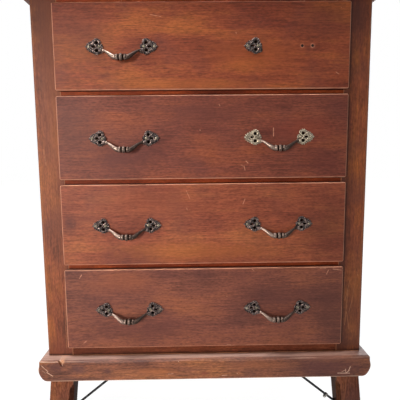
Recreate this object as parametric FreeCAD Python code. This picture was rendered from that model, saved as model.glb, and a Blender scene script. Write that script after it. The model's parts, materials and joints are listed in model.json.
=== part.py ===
"""Chest of four lipped drawers on a plank stand with splayed legs, in millimetres.

The origin is on the floor under the middle of the chest. +Z is up, the drawers face -Y and the
left-hand side is -X. Each sub-part is written to its own STEP file in parts/.
"""
import FreeCAD, Part
import math
import os

V = FreeCAD.Vector

# Carcass
WIDTH = 762.0              # outside the stiles
HEIGHT = 829.0             # plank to top board
DEPTH = 430.0              # face of the stiles to the back
STILE_WIDTH = 60.0
STILE_THICK = 22.0
STILE_ROUND = 5.0          # outer front edge, worn round
SIDE_THICK = 18.0
TONGUE = 8.0               # side panel's tongue into the back of the stile
RAIL_DEPTH = 55.0
TENON_LENGTH = 20.0
TENON_THICK = 10.0
TENON_INSET = 6.0          # rail face to tenon
TENON_SHOULDER = 3.0
BACK_THICK = 12.0
BACK_RABBET = 10.0
BACK_BOARDS = 7
BACK_BEVEL = 2.0           # arris of each back board
TOP_THICK = 22.0
TOP_SIDE_OVERHANG = 19.0
TOP_FRONT_OVERHANG = 20.0
TOP_CORNER = 8.0           # round of the top board's front corners
TOP_EASE = 5.0             # and of its edges

# Stand
LEG_HEIGHT = 177.8         # floor to the underside of the plank
LEG_WIDTH = 56.0
LEG_DEPTH = 45.0
LEG_INNER = 317.0          # inner face of a leg, where it meets the plank
LEG_SPLAY = 6.0            # degrees, outward
LEG_SETBACK = 12.0         # plank edge to leg
LEG_CHAMFER = 9.0          # stopped chamfer on the inner edge that faces out
CHAMFER_STOP = 13.0        # plank to the top of the chamfer
CHAMFER_RUNOUT = 14.0
LEG_TENON = 30.0
LEG_TENON_INSET = 10.0
ARRIS = 2.0                # small chamfer on the legs and under the plank
PLANK_THICK = 50.8
PLANK_WIDTH = 794.0
PLANK_OVERHANG = 28.0      # in front of the carcass
PLANK_UNDERCUT = 22.0      # how far the worn lower corner of each end runs in
PLANK_BELLY = 29.0         # height of the widest place of an end
PLANK_SHOULDER = [2.5, 6.5]    # where the worn upper corner begins: in and down
PLANK_SHOULDER_END = 9.0   # how far in it ends
WORN_BEVEL = 5.2           # worn front top edge in the middle of the plank
WORN_BEVEL_LOSS = 2.6      # how much smaller it is at the ends
CHIP_X = -344.0            # chip out of the front top edge
CHIP_WIDTH = 15.0
CHIP_HEIGHT = 14.0
CHIP_DEPTH = 4.0
BRACE_RADIUS = 2.8
BRACE_PLANK_X = 222.0      # where a brace meets the plank
BRACE_DROP = 84.0          # from the plank down to where it meets the leg
TAB_LENGTH = 22.0
TAB_HEEL = 4.0             # tab behind the rod's end
TAB_WIDTH = 14.0
TAB_THICK = 3.0
BRACE_SCREW_RADIUS = 2.0
BRACE_SCREW_LENGTH = 18.0  # in the wood
BRACE_HEAD_RADII = [3.0, 4.5]
BRACE_HEAD_HEIGHT = 2.6
KNOB_RADIUS = 3.8          # under the front right brace
KNOB_DROP = 5.6            # its middle below the rod's
KNOB_SHARE = 0.76          # where it stands along the rod
COLLAR_LENGTH = 5.0
COLLAR_STEP = 1.6

# Drawers, from the bottom up
FRONT_WIDTH = 660.4
FRONT_HEIGHTS = [193.5, 189.0, 189.0, 189.0]
FRONT_PROUD = 9.5          # face of a drawer in front of the stiles
FRONT_ROUND = 3.0
FRONT_CORNER = 4.2         # corners of the lip, seen from the front
FRONT_INNER = 12.5         # thickness inside the opening
BOTTOM_SHOW = 22.6         # bottom rail seen below the lowest drawer
RAIL_SHOW = 11.4           # rail seen between two drawers
LIP = 3.8                  # lip over the rail, above and below
LIP_GAP = 0.4              # lip to stile, closed
SIDE_PLAY = 2.0            # drawer box to opening, each side
TOP_PLAY = 4.4
DRAWER_LENGTH = 395.0      # stile face to the tail of a drawer side
BOX_THICK = 12.0           # drawer sides and back
TAIL_DEPTH = 10.0
TAILS = 5
TAIL_FLARE = 2.0
PIN_SHARE = 0.3            # of each pitch between two tails
GROOVE = 6.0               # grooves and drawer bottom
GROOVE_HEIGHT = 10.0
BACK_INSET = 20.0          # tail of the drawer sides behind the drawer back
BACK_DROP = 6.0            # top of a drawer's back below its sides
GUIDE_HEIGHT = 20.0
LEDGE = 7.0                # of a runner, inside the drawer side it carries

# Pulls
PULL_CENTRES = [-178.8, 172.8]
PULL_DROP = 1.2            # pulls below the middle of each front
ROSETTE_X = 61.0           # rosette from the middle of the pull
PLATE_THICK = 2.8
LOBE_X = -6.4              # the two ring lobes, from the rosette's middle
LOBE_Z = 8.2
LOBE_RADIUS = 9.2
PIERCING_RADIUS = 3.5
BAND_RADIUS = 5.4          # round band about each lobe's piercing: its middle line
BAND_HALF = 1.9            # half its thickness
BAND_SUNK = 0.4            # its middle line behind the plate's face
SCALLOPS = 6               # notches round the outside of each lobe
SCALLOP_START = 20.0       # degrees up from the leaf
SCALLOP_STEP = 33.0
SCALLOP_RADIUS = 1.1
PETALS = [(-14.6, 0.8, 5.2), (-15.4, -8.6, 6.0)]   # two leaflets that carry the eye: x, z, radius
HEART_X = 1.8              # third piercing
HEART_RADIUS = 3.0
LEAF_ROOT = -3.0
LEAF_TIP = 19.8
LEAF_WIDTH = 12.4          # half the width, at the root
LEAF_TEETH = 4
TOOTH = 1.8                # tips outside the leaf's outline, and notches inside it
TOOTH_HOOK = 0.7           # tip beyond the notch behind it
SCREW_X = 11.6             # rosette screws from the rosette's middle
SCREW_RADIUS = 1.45
SCREW_HOLE = 1.5
SCREW_HOLE_DEPTH = 14.0
HEAD_RADIUS = 3.2
HEAD_CREST = 1.9
HEAD_HEIGHT = 1.5
HEAD_FIT = 0.1             # round each head, where the bands would touch it
EYE_X = -17.6              # inner end of the eye, from the rosette's middle
EYE_LENGTH = 5.6
EYE_Z = -9.2
EYE_OUT = 6.5              # pivot in front of the drawer face
EYE_RADIUS = 4.2
STUB_OUT = [3.4, 5.4]      # snapped eye: what is left below and above
PIN_RADIUS = 1.9
PIN_FIT = 0.08
KNUCKLE_RADIUS = 3.2
KNUCKLE_GAP = 0.3          # knuckle to eye
HEEL_RADIUS = 1.6          # heel that stops the bail against its rosette
HEEL_LENGTH = 3.2
HEEL_DROP = 2.6            # below the pin
HEEL_GAP = 0.1             # from the rosette, hanging
GRIP_DROP = 15.9           # pivot down to the beads
GRIP_OUT = 14.2            # beads' centre in front of the drawer face
GRIP_HALF = 13.5
BEAD_PITCH = 9.3
BEAD_RADII = [7.0, 8.25, 7.0]
BEAD_HALF = 3.25           # half the width of a bead
BEAD_RIM = 1.3             # height of its rounded rim
BEAD_NECK = 3.0
NECK_LAP = 0.8             # neck into the arms
ARM_THIN = 2.2             # half the arm's thickness, at the knuckle
ARM_THICK = 5.9            # and beside the beads
ARM_STATIONS = 6

# Derived
DECK = LEG_HEIGHT + PLANK_THICK
CARCASS_TOP = DECK + HEIGHT
STAND_OFF = FRONT_PROUD + GRIP_OUT + max(BEAD_RADII)
FACE = (STAND_OFF - DEPTH) / 2.0       # y of the stile faces
REAR = FACE + DEPTH
FRONT = FACE - FRONT_PROUD             # y of the drawer faces
OPENING_HALF = WIDTH / 2.0 - STILE_WIDTH
BOX_HALF = OPENING_HALF - SIDE_PLAY
SPLAY = math.tan(math.radians(LEG_SPLAY))


def box(x0, x1, y0, y1, z0, z1):
    """Block between two corners."""
    return Part.makeBox(x1 - x0, y1 - y0, z1 - z0, V(x0, y0, z0))


def prism(points, direction):
    """Closed outline of points, extruded along direction."""
    return Part.Face(Part.makePolygon(points + points[:1])).extrude(direction)


def join(shapes):
    """One solid from overlapping solids."""
    return shapes[0].multiFuse(shapes[1:]).removeSplitter()


def mirrored(shape):
    """Copy of shape on the other side of the chest's middle."""
    return shape.mirror(V(0, 0, 0), V(1, 0, 0))


def edges_where(shape, test):
    """Straight edges whose middle point passes the test."""
    return [e for e in shape.Edges if len(e.Vertexes) == 2 and test(e.CenterOfMass)]


def save(name, *solids):
    """Write one sub-part."""
    shape = solids[0] if len(solids) == 1 else Part.Compound(list(solids))
    shape.exportStep(os.path.join("parts", name + ".step"))


def front_levels():
    """Bottom and top of each drawer front, from the lowest drawer up."""
    levels = []
    z = DECK + BOTTOM_SHOW
    for height in FRONT_HEIGHTS:
        levels.append((z, z + height))
        z += height + RAIL_SHOW
    return levels


def rail_levels():
    """Bottom and top of the five rails, from the plank up."""
    fronts = front_levels()
    levels = [(DECK, fronts[0][0] + LIP)]
    for below, above in zip(fronts, fronts[1:]):
        levels.append((below[1] - LIP, above[0] + LIP))
    levels.append((fronts[-1][1] - LIP, CARCASS_TOP))
    return levels


# ---------------------------------------------------------------- carcass

def rail(bottom, top):
    """Front rail with a tenon at each end."""
    body = box(-OPENING_HALF, OPENING_HALF, FACE, FACE + RAIL_DEPTH, bottom, top)
    return join([body, tenon_bar(bottom, top)])


def tenon_bar(bottom, top):
    """Both tenons of a rail, as one bar through it."""
    reach = OPENING_HALF + TENON_LENGTH
    y = FACE + TENON_INSET
    return box(-reach, reach, y, y + TENON_THICK, bottom + TENON_SHOULDER, top - TENON_SHOULDER)


def stile():
    """Right-hand stile, mortised for the rails and grooved for the side panel."""
    post = box(OPENING_HALF, WIDTH / 2, FACE, FACE + STILE_THICK, DECK, CARCASS_TOP)
    middle = (DECK + CARCASS_TOP) / 2
    outer = edges_where(post, lambda p: p.x > WIDTH / 2 - 1 and p.y < FACE + 1 and abs(p.z - middle) < 1)
    post = post.makeFillet(STILE_ROUND, outer)
    cuts = [tenon_bar(*level) for level in rail_levels()]
    cuts.append(side_tongue())
    return post.cut(Part.Compound(cuts))


def side_tongue():
    """Tongue on the right-hand side panel's front edge."""
    y = FACE + STILE_THICK
    x = WIDTH / 2 - SIDE_THICK
    return box(x, x + TONGUE, y - TONGUE, y, DECK, CARCASS_TOP)


def side_panel():
    """Right-hand side panel, rabbeted for the back boards."""
    inside = WIDTH / 2 - SIDE_THICK
    panel = box(inside, WIDTH / 2, FACE + STILE_THICK, REAR, DECK, CARCASS_TOP)
    rabbet = box(inside, inside + BACK_RABBET, REAR - BACK_THICK, REAR, DECK, CARCASS_TOP)
    return join([panel.cut(rabbet), side_tongue()])


def back_board(index):
    """Tongued and grooved upright board with a bevel at each joint."""
    pitch = 2 * (WIDTH / 2 - SIDE_THICK + BACK_RABBET) / BACK_BOARDS
    x0 = pitch * (index - BACK_BOARDS / 2)
    x1 = x0 + pitch
    y0 = REAR - BACK_THICK
    third = BACK_THICK / 3
    points = [V(x0, y0, DECK), V(x1, y0, DECK)]
    if index < BACK_BOARDS - 1:
        points += [V(x1, y0 + third, DECK), V(x1 + third, y0 + third, DECK),
                   V(x1 + third, y0 + 2 * third, DECK), V(x1, y0 + 2 * third, DECK)]
    points += [V(x1, REAR - BACK_BEVEL, DECK), V(x1 - BACK_BEVEL, REAR, DECK),
               V(x0 + BACK_BEVEL, REAR, DECK), V(x0, REAR - BACK_BEVEL, DECK)]
    if index > 0:
        points += [V(x0, y0 + 2 * third, DECK), V(x0 + third, y0 + 2 * third, DECK),
                   V(x0 + third, y0 + third, DECK), V(x0, y0 + third, DECK)]
    return prism(points, V(0, 0, HEIGHT))


def runner(level, guided=True):
    """Right-hand runner behind a rail: a ledge for the drawer side, and a guide beside it."""
    bottom, top = level
    inner = BOX_HALF - BOX_THICK - LEDGE
    outer = WIDTH / 2 - SIDE_THICK
    y = FACE + RAIL_DEPTH
    guide_top = top + GUIDE_HEIGHT if guided else top
    points = [V(inner, y, bottom), V(outer, y, bottom), V(outer, y, guide_top)]
    if guided:
        points += [V(OPENING_HALF, y, guide_top), V(OPENING_HALF, y, top)]
    points.append(V(inner, y, top))
    return prism(points, V(0, REAR - BACK_THICK - y, 0))


def top_board():
    """Top board with eased edges; its back is flush with the carcass."""
    half = WIDTH / 2 + TOP_SIDE_OVERHANG
    y = FACE - TOP_FRONT_OVERHANG
    top = CARCASS_TOP + TOP_THICK
    board = box(-half, half, y, REAR, CARCASS_TOP, top)
    corners = edges_where(board, lambda p: abs(p.z - top + TOP_THICK / 2) < 1 and p.y < 0)
    board = board.makeFillet(TOP_CORNER, corners)
    rims = [e for e in board.Edges if abs(e.CenterOfMass.z - top + TOP_THICK / 2) > TOP_THICK / 2 - 0.1]
    return board.makeFillet(TOP_EASE, [e for e in rims if e.CenterOfMass.y < REAR - 1])


# ------------------------------------------------------------------ stand

def worn_bevel(x):
    """Size of the worn bevel on the plank's front top edge."""
    end = abs(x) / (PLANK_WIDTH / 2)
    wander = 1.1 * math.sin(x / 47.0) + 0.6 * math.sin(x / 21.0)
    return WORN_BEVEL - WORN_BEVEL_LOSS * end ** 4 + wander


def end_curve(side, y):
    """Outline of one end of the plank: a full, worn lower corner and a tighter upper one."""
    half = side * PLANK_WIDTH / 2
    points = [V(half - side * PLANK_UNDERCUT, y, LEG_HEIGHT),
              V(half - side * PLANK_UNDERCUT * 0.3, y, LEG_HEIGHT + PLANK_BELLY * 0.3),
              V(half, y, LEG_HEIGHT + PLANK_BELLY),
              V(half - side * PLANK_SHOULDER[0], y, DECK - PLANK_SHOULDER[1]),
              V(half - side * PLANK_SHOULDER_END, y, DECK)]
    curve = Part.BSplineCurve()
    curve.interpolate(Points=points, InitialTangent=V(side, 0, 0), FinalTangent=V(-side, 0, 0))
    return curve.toShape()


def worn_edge_cutter(y):
    """Waste along the plank's front top edge; its size wanders from place to place."""
    stations = 21
    sections = []
    for i in range(stations):
        x = PLANK_WIDTH / 2 * (2.0 * i / (stations - 1) - 1)
        bevel = worn_bevel(x)
        corners = [V(x, y - 1, DECK + 1), V(x, y + bevel * 1.5, DECK + 1), V(x, y + bevel * 1.5, DECK),
                   V(x, y, DECK - bevel), V(x, y - 1, DECK - bevel)]
        sections.append(Part.makePolygon(corners + corners[:1]))
    return Part.makeLoft(sections, True, False)


def chip_cutter(y):
    """Wedge-shaped chip in the front top edge."""
    left = CHIP_X - CHIP_WIDTH / 2
    points = [V(left, y - 1, DECK + 1), V(left + CHIP_WIDTH, y - 1, DECK + 1),
              V(left + CHIP_WIDTH * 0.65, y - 1, DECK - CHIP_HEIGHT)]
    return prism(points, V(0, CHIP_DEPTH + 1, 0))


def plank(screws):
    """Thick plank with rounded ends, a worn front edge, leg mortises and brace screw holes."""
    y = FACE - PLANK_OVERHANG
    right = end_curve(1, y)
    left = end_curve(-1, y)
    under = Part.makeLine(left.Vertexes[0].Point, right.Vertexes[0].Point)
    over = Part.makeLine(right.Vertexes[-1].Point, left.Vertexes[-1].Point)
    outline = Part.Wire(Part.__sortEdges__([under, right, over, left]))
    body = Part.Face(outline).extrude(V(0, REAR - y, 0))
    front = [e for e in body.Edges if e.CenterOfMass.y < y + 0.1 and e.CenterOfMass.z < DECK - 1]
    body = body.makeChamfer(ARRIS, front)
    body = body.cut(Part.Compound([worn_edge_cutter(y)]))
    tenons = [leg_tenon(side, leg_y) for side in (-1, 1) for leg_y in leg_fronts()]
    return body.cut(Part.Compound([chip_cutter(y)] + tenons + screws))


def leg_fronts():
    """Front faces of the front and rear legs."""
    return (FACE - PLANK_OVERHANG + LEG_SETBACK, REAR - LEG_SETBACK - LEG_DEPTH)


def leg_tenon(side, y):
    """Stub tenon on top of a leg."""
    x0 = side * (LEG_INNER + LEG_TENON_INSET)
    x1 = side * (LEG_INNER + LEG_WIDTH - LEG_TENON_INSET)
    return box(min(x0, x1), max(x0, x1), y + LEG_TENON_INSET, y + LEG_DEPTH - LEG_TENON_INSET,
               LEG_HEIGHT, LEG_HEIGHT + LEG_TENON)


def chamfer_section(edge_y, inward_y, drop, size):
    """Level triangle across the leg's inner edge, drop below the plank."""
    x = LEG_INNER + drop * SPLAY
    z = LEG_HEIGHT - drop
    return Part.makePolygon([V(x - 1, edge_y - inward_y, z), V(x + size + 1, edge_y - inward_y, z),
                             V(x - 1, edge_y + inward_y * (size + 1), z), V(x - 1, edge_y - inward_y, z)])


def leg(y, facing_out):
    """Right-hand splayed leg; facing_out is -1 at the front and 1 at the rear."""
    lean = LEG_HEIGHT * SPLAY
    outer = LEG_INNER + LEG_WIDTH
    points = [V(LEG_INNER, y, LEG_HEIGHT), V(outer, y, LEG_HEIGHT),
              V(outer + lean, y, 0), V(LEG_INNER + lean, y, 0)]
    body = prism(points, V(0, LEG_DEPTH, 0))
    uprights = edges_where(body, lambda p: abs(p.z - LEG_HEIGHT / 2) < 1)
    body = body.makeChamfer(ARRIS, uprights)
    edge_y = y if facing_out < 0 else y + LEG_DEPTH
    full = CHAMFER_STOP + CHAMFER_RUNOUT
    sections = [chamfer_section(edge_y, -facing_out, CHAMFER_STOP, 1.0),
                chamfer_section(edge_y, -facing_out, full, LEG_CHAMFER),
                chamfer_section(edge_y, -facing_out, LEG_HEIGHT + 1, LEG_CHAMFER)]
    body = body.cut(Part.makeLoft(sections, True, True))
    return join([body, leg_tenon(1, y)])


def brace(y, knob=False):
    """Right-hand iron rod from the plank to a leg, with a flattened tab at each end."""
    drop = BRACE_DROP
    foot = V(LEG_INNER + drop * SPLAY, y, LEG_HEIGHT - drop)
    along = V(SPLAY, 0, -1).normalize()
    out = V(-along.z, 0, along.x) * -1.0
    start = V(BRACE_PLANK_X, y, LEG_HEIGHT - TAB_THICK / 2)
    end = foot + out * (TAB_THICK / 2)
    rod_line = end - start
    rod = Part.makeCylinder(BRACE_RADIUS, rod_line.Length, start, rod_line)
    upper_tab = box(BRACE_PLANK_X - TAB_LENGTH, BRACE_PLANK_X + TAB_HEEL,
                    y - TAB_WIDTH / 2, y + TAB_WIDTH / 2, LEG_HEIGHT - TAB_THICK, LEG_HEIGHT)
    near = foot - along * TAB_HEEL
    far = foot + along * TAB_LENGTH
    corners = [near, far, far + out * TAB_THICK, near + out * TAB_THICK]
    lower_tab = prism([V(p.x, y - TAB_WIDTH / 2, p.z) for p in corners], V(0, TAB_WIDTH, 0))
    pieces = [rod, upper_tab, lower_tab]
    if knob:
        along_rod = V(rod_line).normalize()
        place = start + rod_line * KNOB_SHARE
        below = V(rod_line.z, 0, -rod_line.x).normalize()
        pieces.append(Part.makeCylinder(BRACE_RADIUS + COLLAR_STEP, COLLAR_LENGTH, place, rod_line))
        knob_centre = place + along_rod * (COLLAR_LENGTH / 2) + below * KNOB_DROP
        pieces.append(Part.makeSphere(KNOB_RADIUS, knob_centre))
    keep_below = box(0, WIDTH, y - 50, y + 50, 0, LEG_HEIGHT)
    leg_side = prism([V(LEG_INNER, y - 50, LEG_HEIGHT), V(LEG_INNER + LEG_HEIGHT * SPLAY, y - 50, 0),
                      V(WIDTH, y - 50, 0), V(WIDTH, y - 50, LEG_HEIGHT)], V(0, 100, 0))
    body = join(pieces).common(keep_below).cut(leg_side)
    screws = [brace_screw(V(BRACE_PLANK_X - TAB_LENGTH / 2, y, LEG_HEIGHT - TAB_THICK), V(0, 0, 1)),
              brace_screw(foot + along * (TAB_LENGTH / 2) + out * TAB_THICK, out * -1.0)]
    return body.cut(Part.Compound(screws)), screws


def brace_screw(seat, inward):
    """Round-headed wood screw; its head stands on the tab at seat."""
    shank = Part.makeCylinder(BRACE_SCREW_RADIUS, TAB_THICK + BRACE_SCREW_LENGTH, seat, inward)
    crown = seat - inward * BRACE_HEAD_HEIGHT
    head = Part.makeCone(BRACE_HEAD_RADII[0], BRACE_HEAD_RADII[1], BRACE_HEAD_HEIGHT, crown, inward)
    return join([shank, head])


# ---------------------------------------------------------------- drawers

def box_height(front_height):
    """Height of a drawer's sides."""
    return front_height - 2 * LIP - TOP_PLAY


def drawer_side(floor, height):
    """Right-hand drawer side: dovetails in front, grooved for the bottom and housed for the back."""
    shoulder = FACE + FRONT_INNER
    tip = shoulder - TAIL_DEPTH
    tail = FACE + DRAWER_LENGTH
    x = BOX_HALF - BOX_THICK
    pitch = height / TAILS
    pin = pitch * PIN_SHARE
    points = [V(x, tail, floor), V(x, shoulder, floor)]
    for i in range(TAILS):
        low = floor + i * pitch + pin / 2
        high = low + pitch - pin
        points += [V(x, shoulder, low), V(x, tip, low - TAIL_FLARE),
                   V(x, tip, high + TAIL_FLARE), V(x, shoulder, high)]
    points += [V(x, shoulder, floor + height), V(x, tail, floor + height)]
    board = prism(points, V(BOX_THICK, 0, 0))
    groove = box(x, x + GROOVE, tip - 1, tail + 1, floor + GROOVE_HEIGHT, floor + GROOVE_HEIGHT + GROOVE)
    back = drawer_back(floor, height)
    return board.cut(Part.Compound([groove, back]))


def drawer_back(floor, height):
    """Drawer back, standing on the drawer bottom."""
    half = BOX_HALF - BOX_THICK + GROOVE
    y = FACE + DRAWER_LENGTH - BACK_INSET
    bottom = floor + GROOVE_HEIGHT + GROOVE
    return box(-half, half, y - BOX_THICK, y, bottom, floor + height - BACK_DROP)


def drawer_bottom(floor):
    """Thin drawer bottom, slid in from behind."""
    half = BOX_HALF - BOX_THICK + GROOVE
    return box(-half, half, FACE + FRONT_INNER - GROOVE, FACE + DRAWER_LENGTH - BACK_INSET,
               floor + GROOVE_HEIGHT, floor + GROOVE_HEIGHT + GROOVE)


def drawer_front(level, sides, screw_places):
    """Lipped front with sockets for the tails, a groove for the bottom and screw holes."""
    bottom, top = level
    half = FRONT_WIDTH / 2
    lip = box(-half, half, FRONT, FACE - LIP_GAP, bottom, top)
    middle = (FRONT + FACE - LIP_GAP) / 2
    lip = lip.makeFillet(FRONT_CORNER, edges_where(lip, lambda p: abs(p.y - middle) < 1))
    rounded = [e for e in lip.Edges if e.CenterOfMass.y < FRONT + 0.1]
    lip = lip.makeFillet(FRONT_ROUND, rounded)
    floor = bottom + LIP
    inner = box(-BOX_HALF, BOX_HALF, FACE - LIP_GAP, FACE + FRONT_INNER,
                floor, floor + box_height(top - bottom))
    inward = V(0, 1, 0)
    holes = [Part.makeCylinder(SCREW_HOLE, SCREW_HOLE_DEPTH, V(x, FRONT, z), inward) for x, z in screw_places]
    return join([lip, inner]).cut(Part.Compound(sides + [drawer_bottom(floor)] + holes))


# ------------------------------------------------------------------ pulls

def disc(x, z, radius, front=-PLATE_THICK, back=0.0):
    """Round slab facing -Y."""
    return Part.makeCylinder(radius, back - front, V(x, front, z), V(0, 1, 0))


def leaf():
    """Serrated leaf that broadens from the lobes and closes to a point."""
    length = LEAF_TIP - LEAF_ROOT
    upper = [(LEAF_ROOT, LEAF_WIDTH)]
    for i in range(LEAF_TEETH):
        share = (i + 1.6) / (LEAF_TEETH + 1.6)
        x = LEAF_ROOT + share * length
        width = LEAF_WIDTH * (1 - share ** 3)
        upper.append((x, width + TOOTH))
        upper.append((x - TOOTH_HOOK, width - TOOTH))
    outline = upper + [(LEAF_TIP, 0.0)] + [(x, -z) for x, z in reversed(upper)]
    return prism([V(x, -PLATE_THICK, z) for x, z in outline], V(0, PLATE_THICK, 0))


def band(side):
    """Raised half-round band about a lobe's piercing."""
    middle = V(LOBE_X, BAND_SUNK - PLATE_THICK, side * LOBE_Z)
    return Part.makeTorus(BAND_RADIUS, BAND_HALF, middle, V(0, -1, 0))


def scallops(side):
    """Notches that part the small leaves round the outside of a lobe."""
    notches = []
    for i in range(SCALLOPS):
        angle = math.radians(SCALLOP_START + i * SCALLOP_STEP)
        x = LOBE_X + LOBE_RADIUS * math.cos(angle)
        z = LOBE_Z + LOBE_RADIUS * math.sin(angle)
        notches.append(disc(x, side * z, SCALLOP_RADIUS, front=-2 * PLATE_THICK))
    return notches


def rosette(broken=False):
    """Pierced cast rosette for the right-hand end of a pull: its back is at y=0, its leaf points +X."""
    through = -PLATE_THICK - EYE_OUT
    lobes = [disc(LOBE_X, side * LOBE_Z, LOBE_RADIUS) for side in (-1, 1)]
    lobes = [Part.Compound(lobes).cut(Part.Compound(scallops(-1) + scallops(1)))]
    bands = [band(side) for side in (-1, 1)]
    petals = [disc(*petal) for petal in PETALS]
    body = join(lobes[0].Solids + bands + petals + [leaf(), eye()])
    cuts = [disc(LOBE_X, side * LOBE_Z, PIERCING_RADIUS, front=through) for side in (-1, 1)]
    cuts += [disc(side * SCREW_X, 0, HEAD_RADIUS + HEAD_FIT, through, -PLATE_THICK) for side in (-1, 1)]
    cuts.append(disc(HEART_X, 0, HEART_RADIUS, front=through))
    heart = [V(LOBE_X, through, 0), V(HEART_X, through, -HEART_RADIUS), V(HEART_X, through, HEART_RADIUS)]
    cuts.append(prism(heart, V(0, -through, 0)))
    cuts += [disc(side * SCREW_X, 0, SCREW_HOLE, front=through) for side in (-1, 1)]
    bore = V(EYE_X - 1, -EYE_OUT, EYE_Z)
    cuts.append(Part.makeCylinder(PIN_RADIUS + PIN_FIT, EYE_LENGTH + 2, bore, V(1, 0, 0)))
    if broken:
        cuts.append(broken_off())
    return body.cut(Part.Compound(cuts))


def broken_off():
    """What is missing from a snapped eye: all but a slanting stub."""
    x = EYE_X - 1
    low = V(x, -STUB_OUT[0], EYE_Z - EYE_RADIUS - 2)
    high = V(x, -STUB_OUT[1], EYE_Z + EYE_RADIUS + 2)
    beyond = V(0, -4 * EYE_OUT, 0)
    return prism([low, high, high + beyond, low + beyond], V(EYE_LENGTH + 2, 0, 0))


def eye():
    """Standing eye that carries the bail's pin."""
    arch = Part.makeCylinder(EYE_RADIUS, EYE_LENGTH, V(EYE_X, -EYE_OUT, EYE_Z), V(1, 0, 0))
    post = box(EYE_X, EYE_X + EYE_LENGTH, -EYE_OUT, 0, EYE_Z - EYE_RADIUS, EYE_Z + EYE_RADIUS)
    return join([arch, post])


def rosette_screws():
    """The two screws of a rosette."""
    screws = []
    for side in (-1, 1):
        seat = V(side * SCREW_X, -PLATE_THICK, 0)
        shank = Part.makeCylinder(SCREW_RADIUS, SCREW_HOLE_DEPTH + PLATE_THICK - 1, seat, V(0, 1, 0))
        head = Part.makeCone(HEAD_RADIUS, HEAD_CREST, HEAD_HEIGHT, seat, V(0, -1, 0))
        screws.append(join([shank, head]))
    return screws


def arm_point(s):
    """Middle line of the bail's right arm: s=0 at the knuckle, s=1 at the beads."""
    start = ROSETTE_X + EYE_X - KNUCKLE_GAP - KNUCKLE_RADIUS
    x = start + (GRIP_HALF - start) * s
    ease = s * s * (3 - 2 * s)
    z = EYE_Z - GRIP_DROP * (s + ease) / 2
    y = -EYE_OUT - (GRIP_OUT - EYE_OUT) * math.sin(s * math.pi / 2)
    return V(x, y, z)


def arm_radius(s):
    """Half the arm's thickness, which swells towards the beads."""
    return ARM_THIN + (ARM_THICK - ARM_THIN) * s ** 1.2


def bail_arm():
    """Right arm, knuckle, pin and the heel that stops the bail against its rosette."""
    sections = []
    for i in range(ARM_STATIONS + 1):
        s = i / ARM_STATIONS
        along = arm_point(min(s + 0.01, 1.0)) - arm_point(max(s - 0.01, 0.0))
        if i == ARM_STATIONS:
            along = V(-1, 0, 0)
        sections.append(Part.Wire(Part.makeCircle(arm_radius(s), arm_point(s), along)))
    arm = Part.makeLoft(sections, True, False)
    pivot = arm_point(0)
    knuckle = Part.makeSphere(KNUCKLE_RADIUS, pivot, V(1, 0, 0))
    pin_end = ROSETTE_X + EYE_X + EYE_LENGTH - 0.4
    pin = Part.makeCylinder(PIN_RADIUS, pin_end - pivot.x, pivot, V(1, 0, 0))
    heel_y = -PLATE_THICK - HEEL_GAP - HEEL_RADIUS
    heel = Part.makeCylinder(HEEL_RADIUS, HEEL_LENGTH, V(pivot.x, heel_y, pivot.z - HEEL_DROP), V(1, 0, 0))
    return [arm, knuckle, pin, heel]


def grip():
    """Turned middle of the bail: three straight-sided beads with rounded rims on a thin neck."""
    ends = GRIP_HALF + NECK_LAP
    edges = []
    last = V(-ends, 0, BEAD_NECK)
    for i, radius in enumerate(BEAD_RADII):
        centre = (i - 1) * BEAD_PITCH
        left = centre - BEAD_HALF
        right = centre + BEAD_HALF
        rim = radius - BEAD_RIM
        edges.append(Part.makeLine(last, V(left, 0, BEAD_NECK)))
        edges.append(Part.makeLine(V(left, 0, BEAD_NECK), V(left, 0, rim)))
        edges.append(Part.Arc(V(left, 0, rim), V(centre, 0, radius), V(right, 0, rim)).toShape())
        edges.append(Part.makeLine(V(right, 0, rim), V(right, 0, BEAD_NECK)))
        last = V(right, 0, BEAD_NECK)
    edges.append(Part.makeLine(last, V(ends, 0, BEAD_NECK)))
    edges.append(Part.makeLine(V(ends, 0, BEAD_NECK), V(ends, 0, 0)))
    edges.append(Part.makeLine(V(ends, 0, 0), V(-ends, 0, 0)))
    edges.append(Part.makeLine(V(-ends, 0, 0), V(-ends, 0, BEAD_NECK)))
    turned = Part.Face(Part.Wire(edges)).revolve(V(0, 0, 0), V(1, 0, 0), 360)
    turned.translate(V(0, -GRIP_OUT, EYE_Z - GRIP_DROP))
    return turned


def bail():
    """Whole bail, hanging on its heels."""
    right = bail_arm()
    left = [mirrored(piece) for piece in right]
    return join([grip()] + right + left)


def placed(shape, x, z):
    """Copy of a pull piece, moved onto a drawer face."""
    copy = shape.copy()
    copy.translate(V(x, FRONT, z))
    return copy


def build_drawer(number, level):
    """Write every sub-part of one drawer; number 1 is the top one."""
    name = "drawer_%d_" % number
    bottom, top = level
    middle = (bottom + top) / 2 - PULL_DROP
    floor = bottom + LIP
    height = box_height(top - bottom)
    right_side = drawer_side(floor, height)
    sides = [mirrored(right_side), right_side]
    save(name + "sides", *sides)
    save(name + "back", drawer_back(floor, height))
    save(name + "bottom", drawer_bottom(floor))

    whole = rosette()
    pair = [mirrored(whole), whole]
    screw_places = []
    screws = []
    for side, centre in zip(("left", "right"), PULL_CENTRES):
        damaged = number == 1 and side == "right"
        plates = [mirrored(rosette(broken=True))] if damaged else pair
        rosettes = []
        for plate, sign in zip(plates, (-1, 1)):
            x = centre + sign * ROSETTE_X
            rosettes.append(placed(plate, x, middle))
            screws += [placed(screw, x, middle) for screw in rosette_screws()]
        save(name + side + "_rosettes", *rosettes)
        if not damaged:
            save(name + side + "_bail", placed(bail(), centre, middle))
        for sign in (-1, 1):
            screw_places += [(centre + sign * ROSETTE_X + end * SCREW_X, middle) for end in (-1, 1)]
    save(name + "screws", *screws)
    save(name + "front", drawer_front(level, sides, screw_places))


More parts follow.
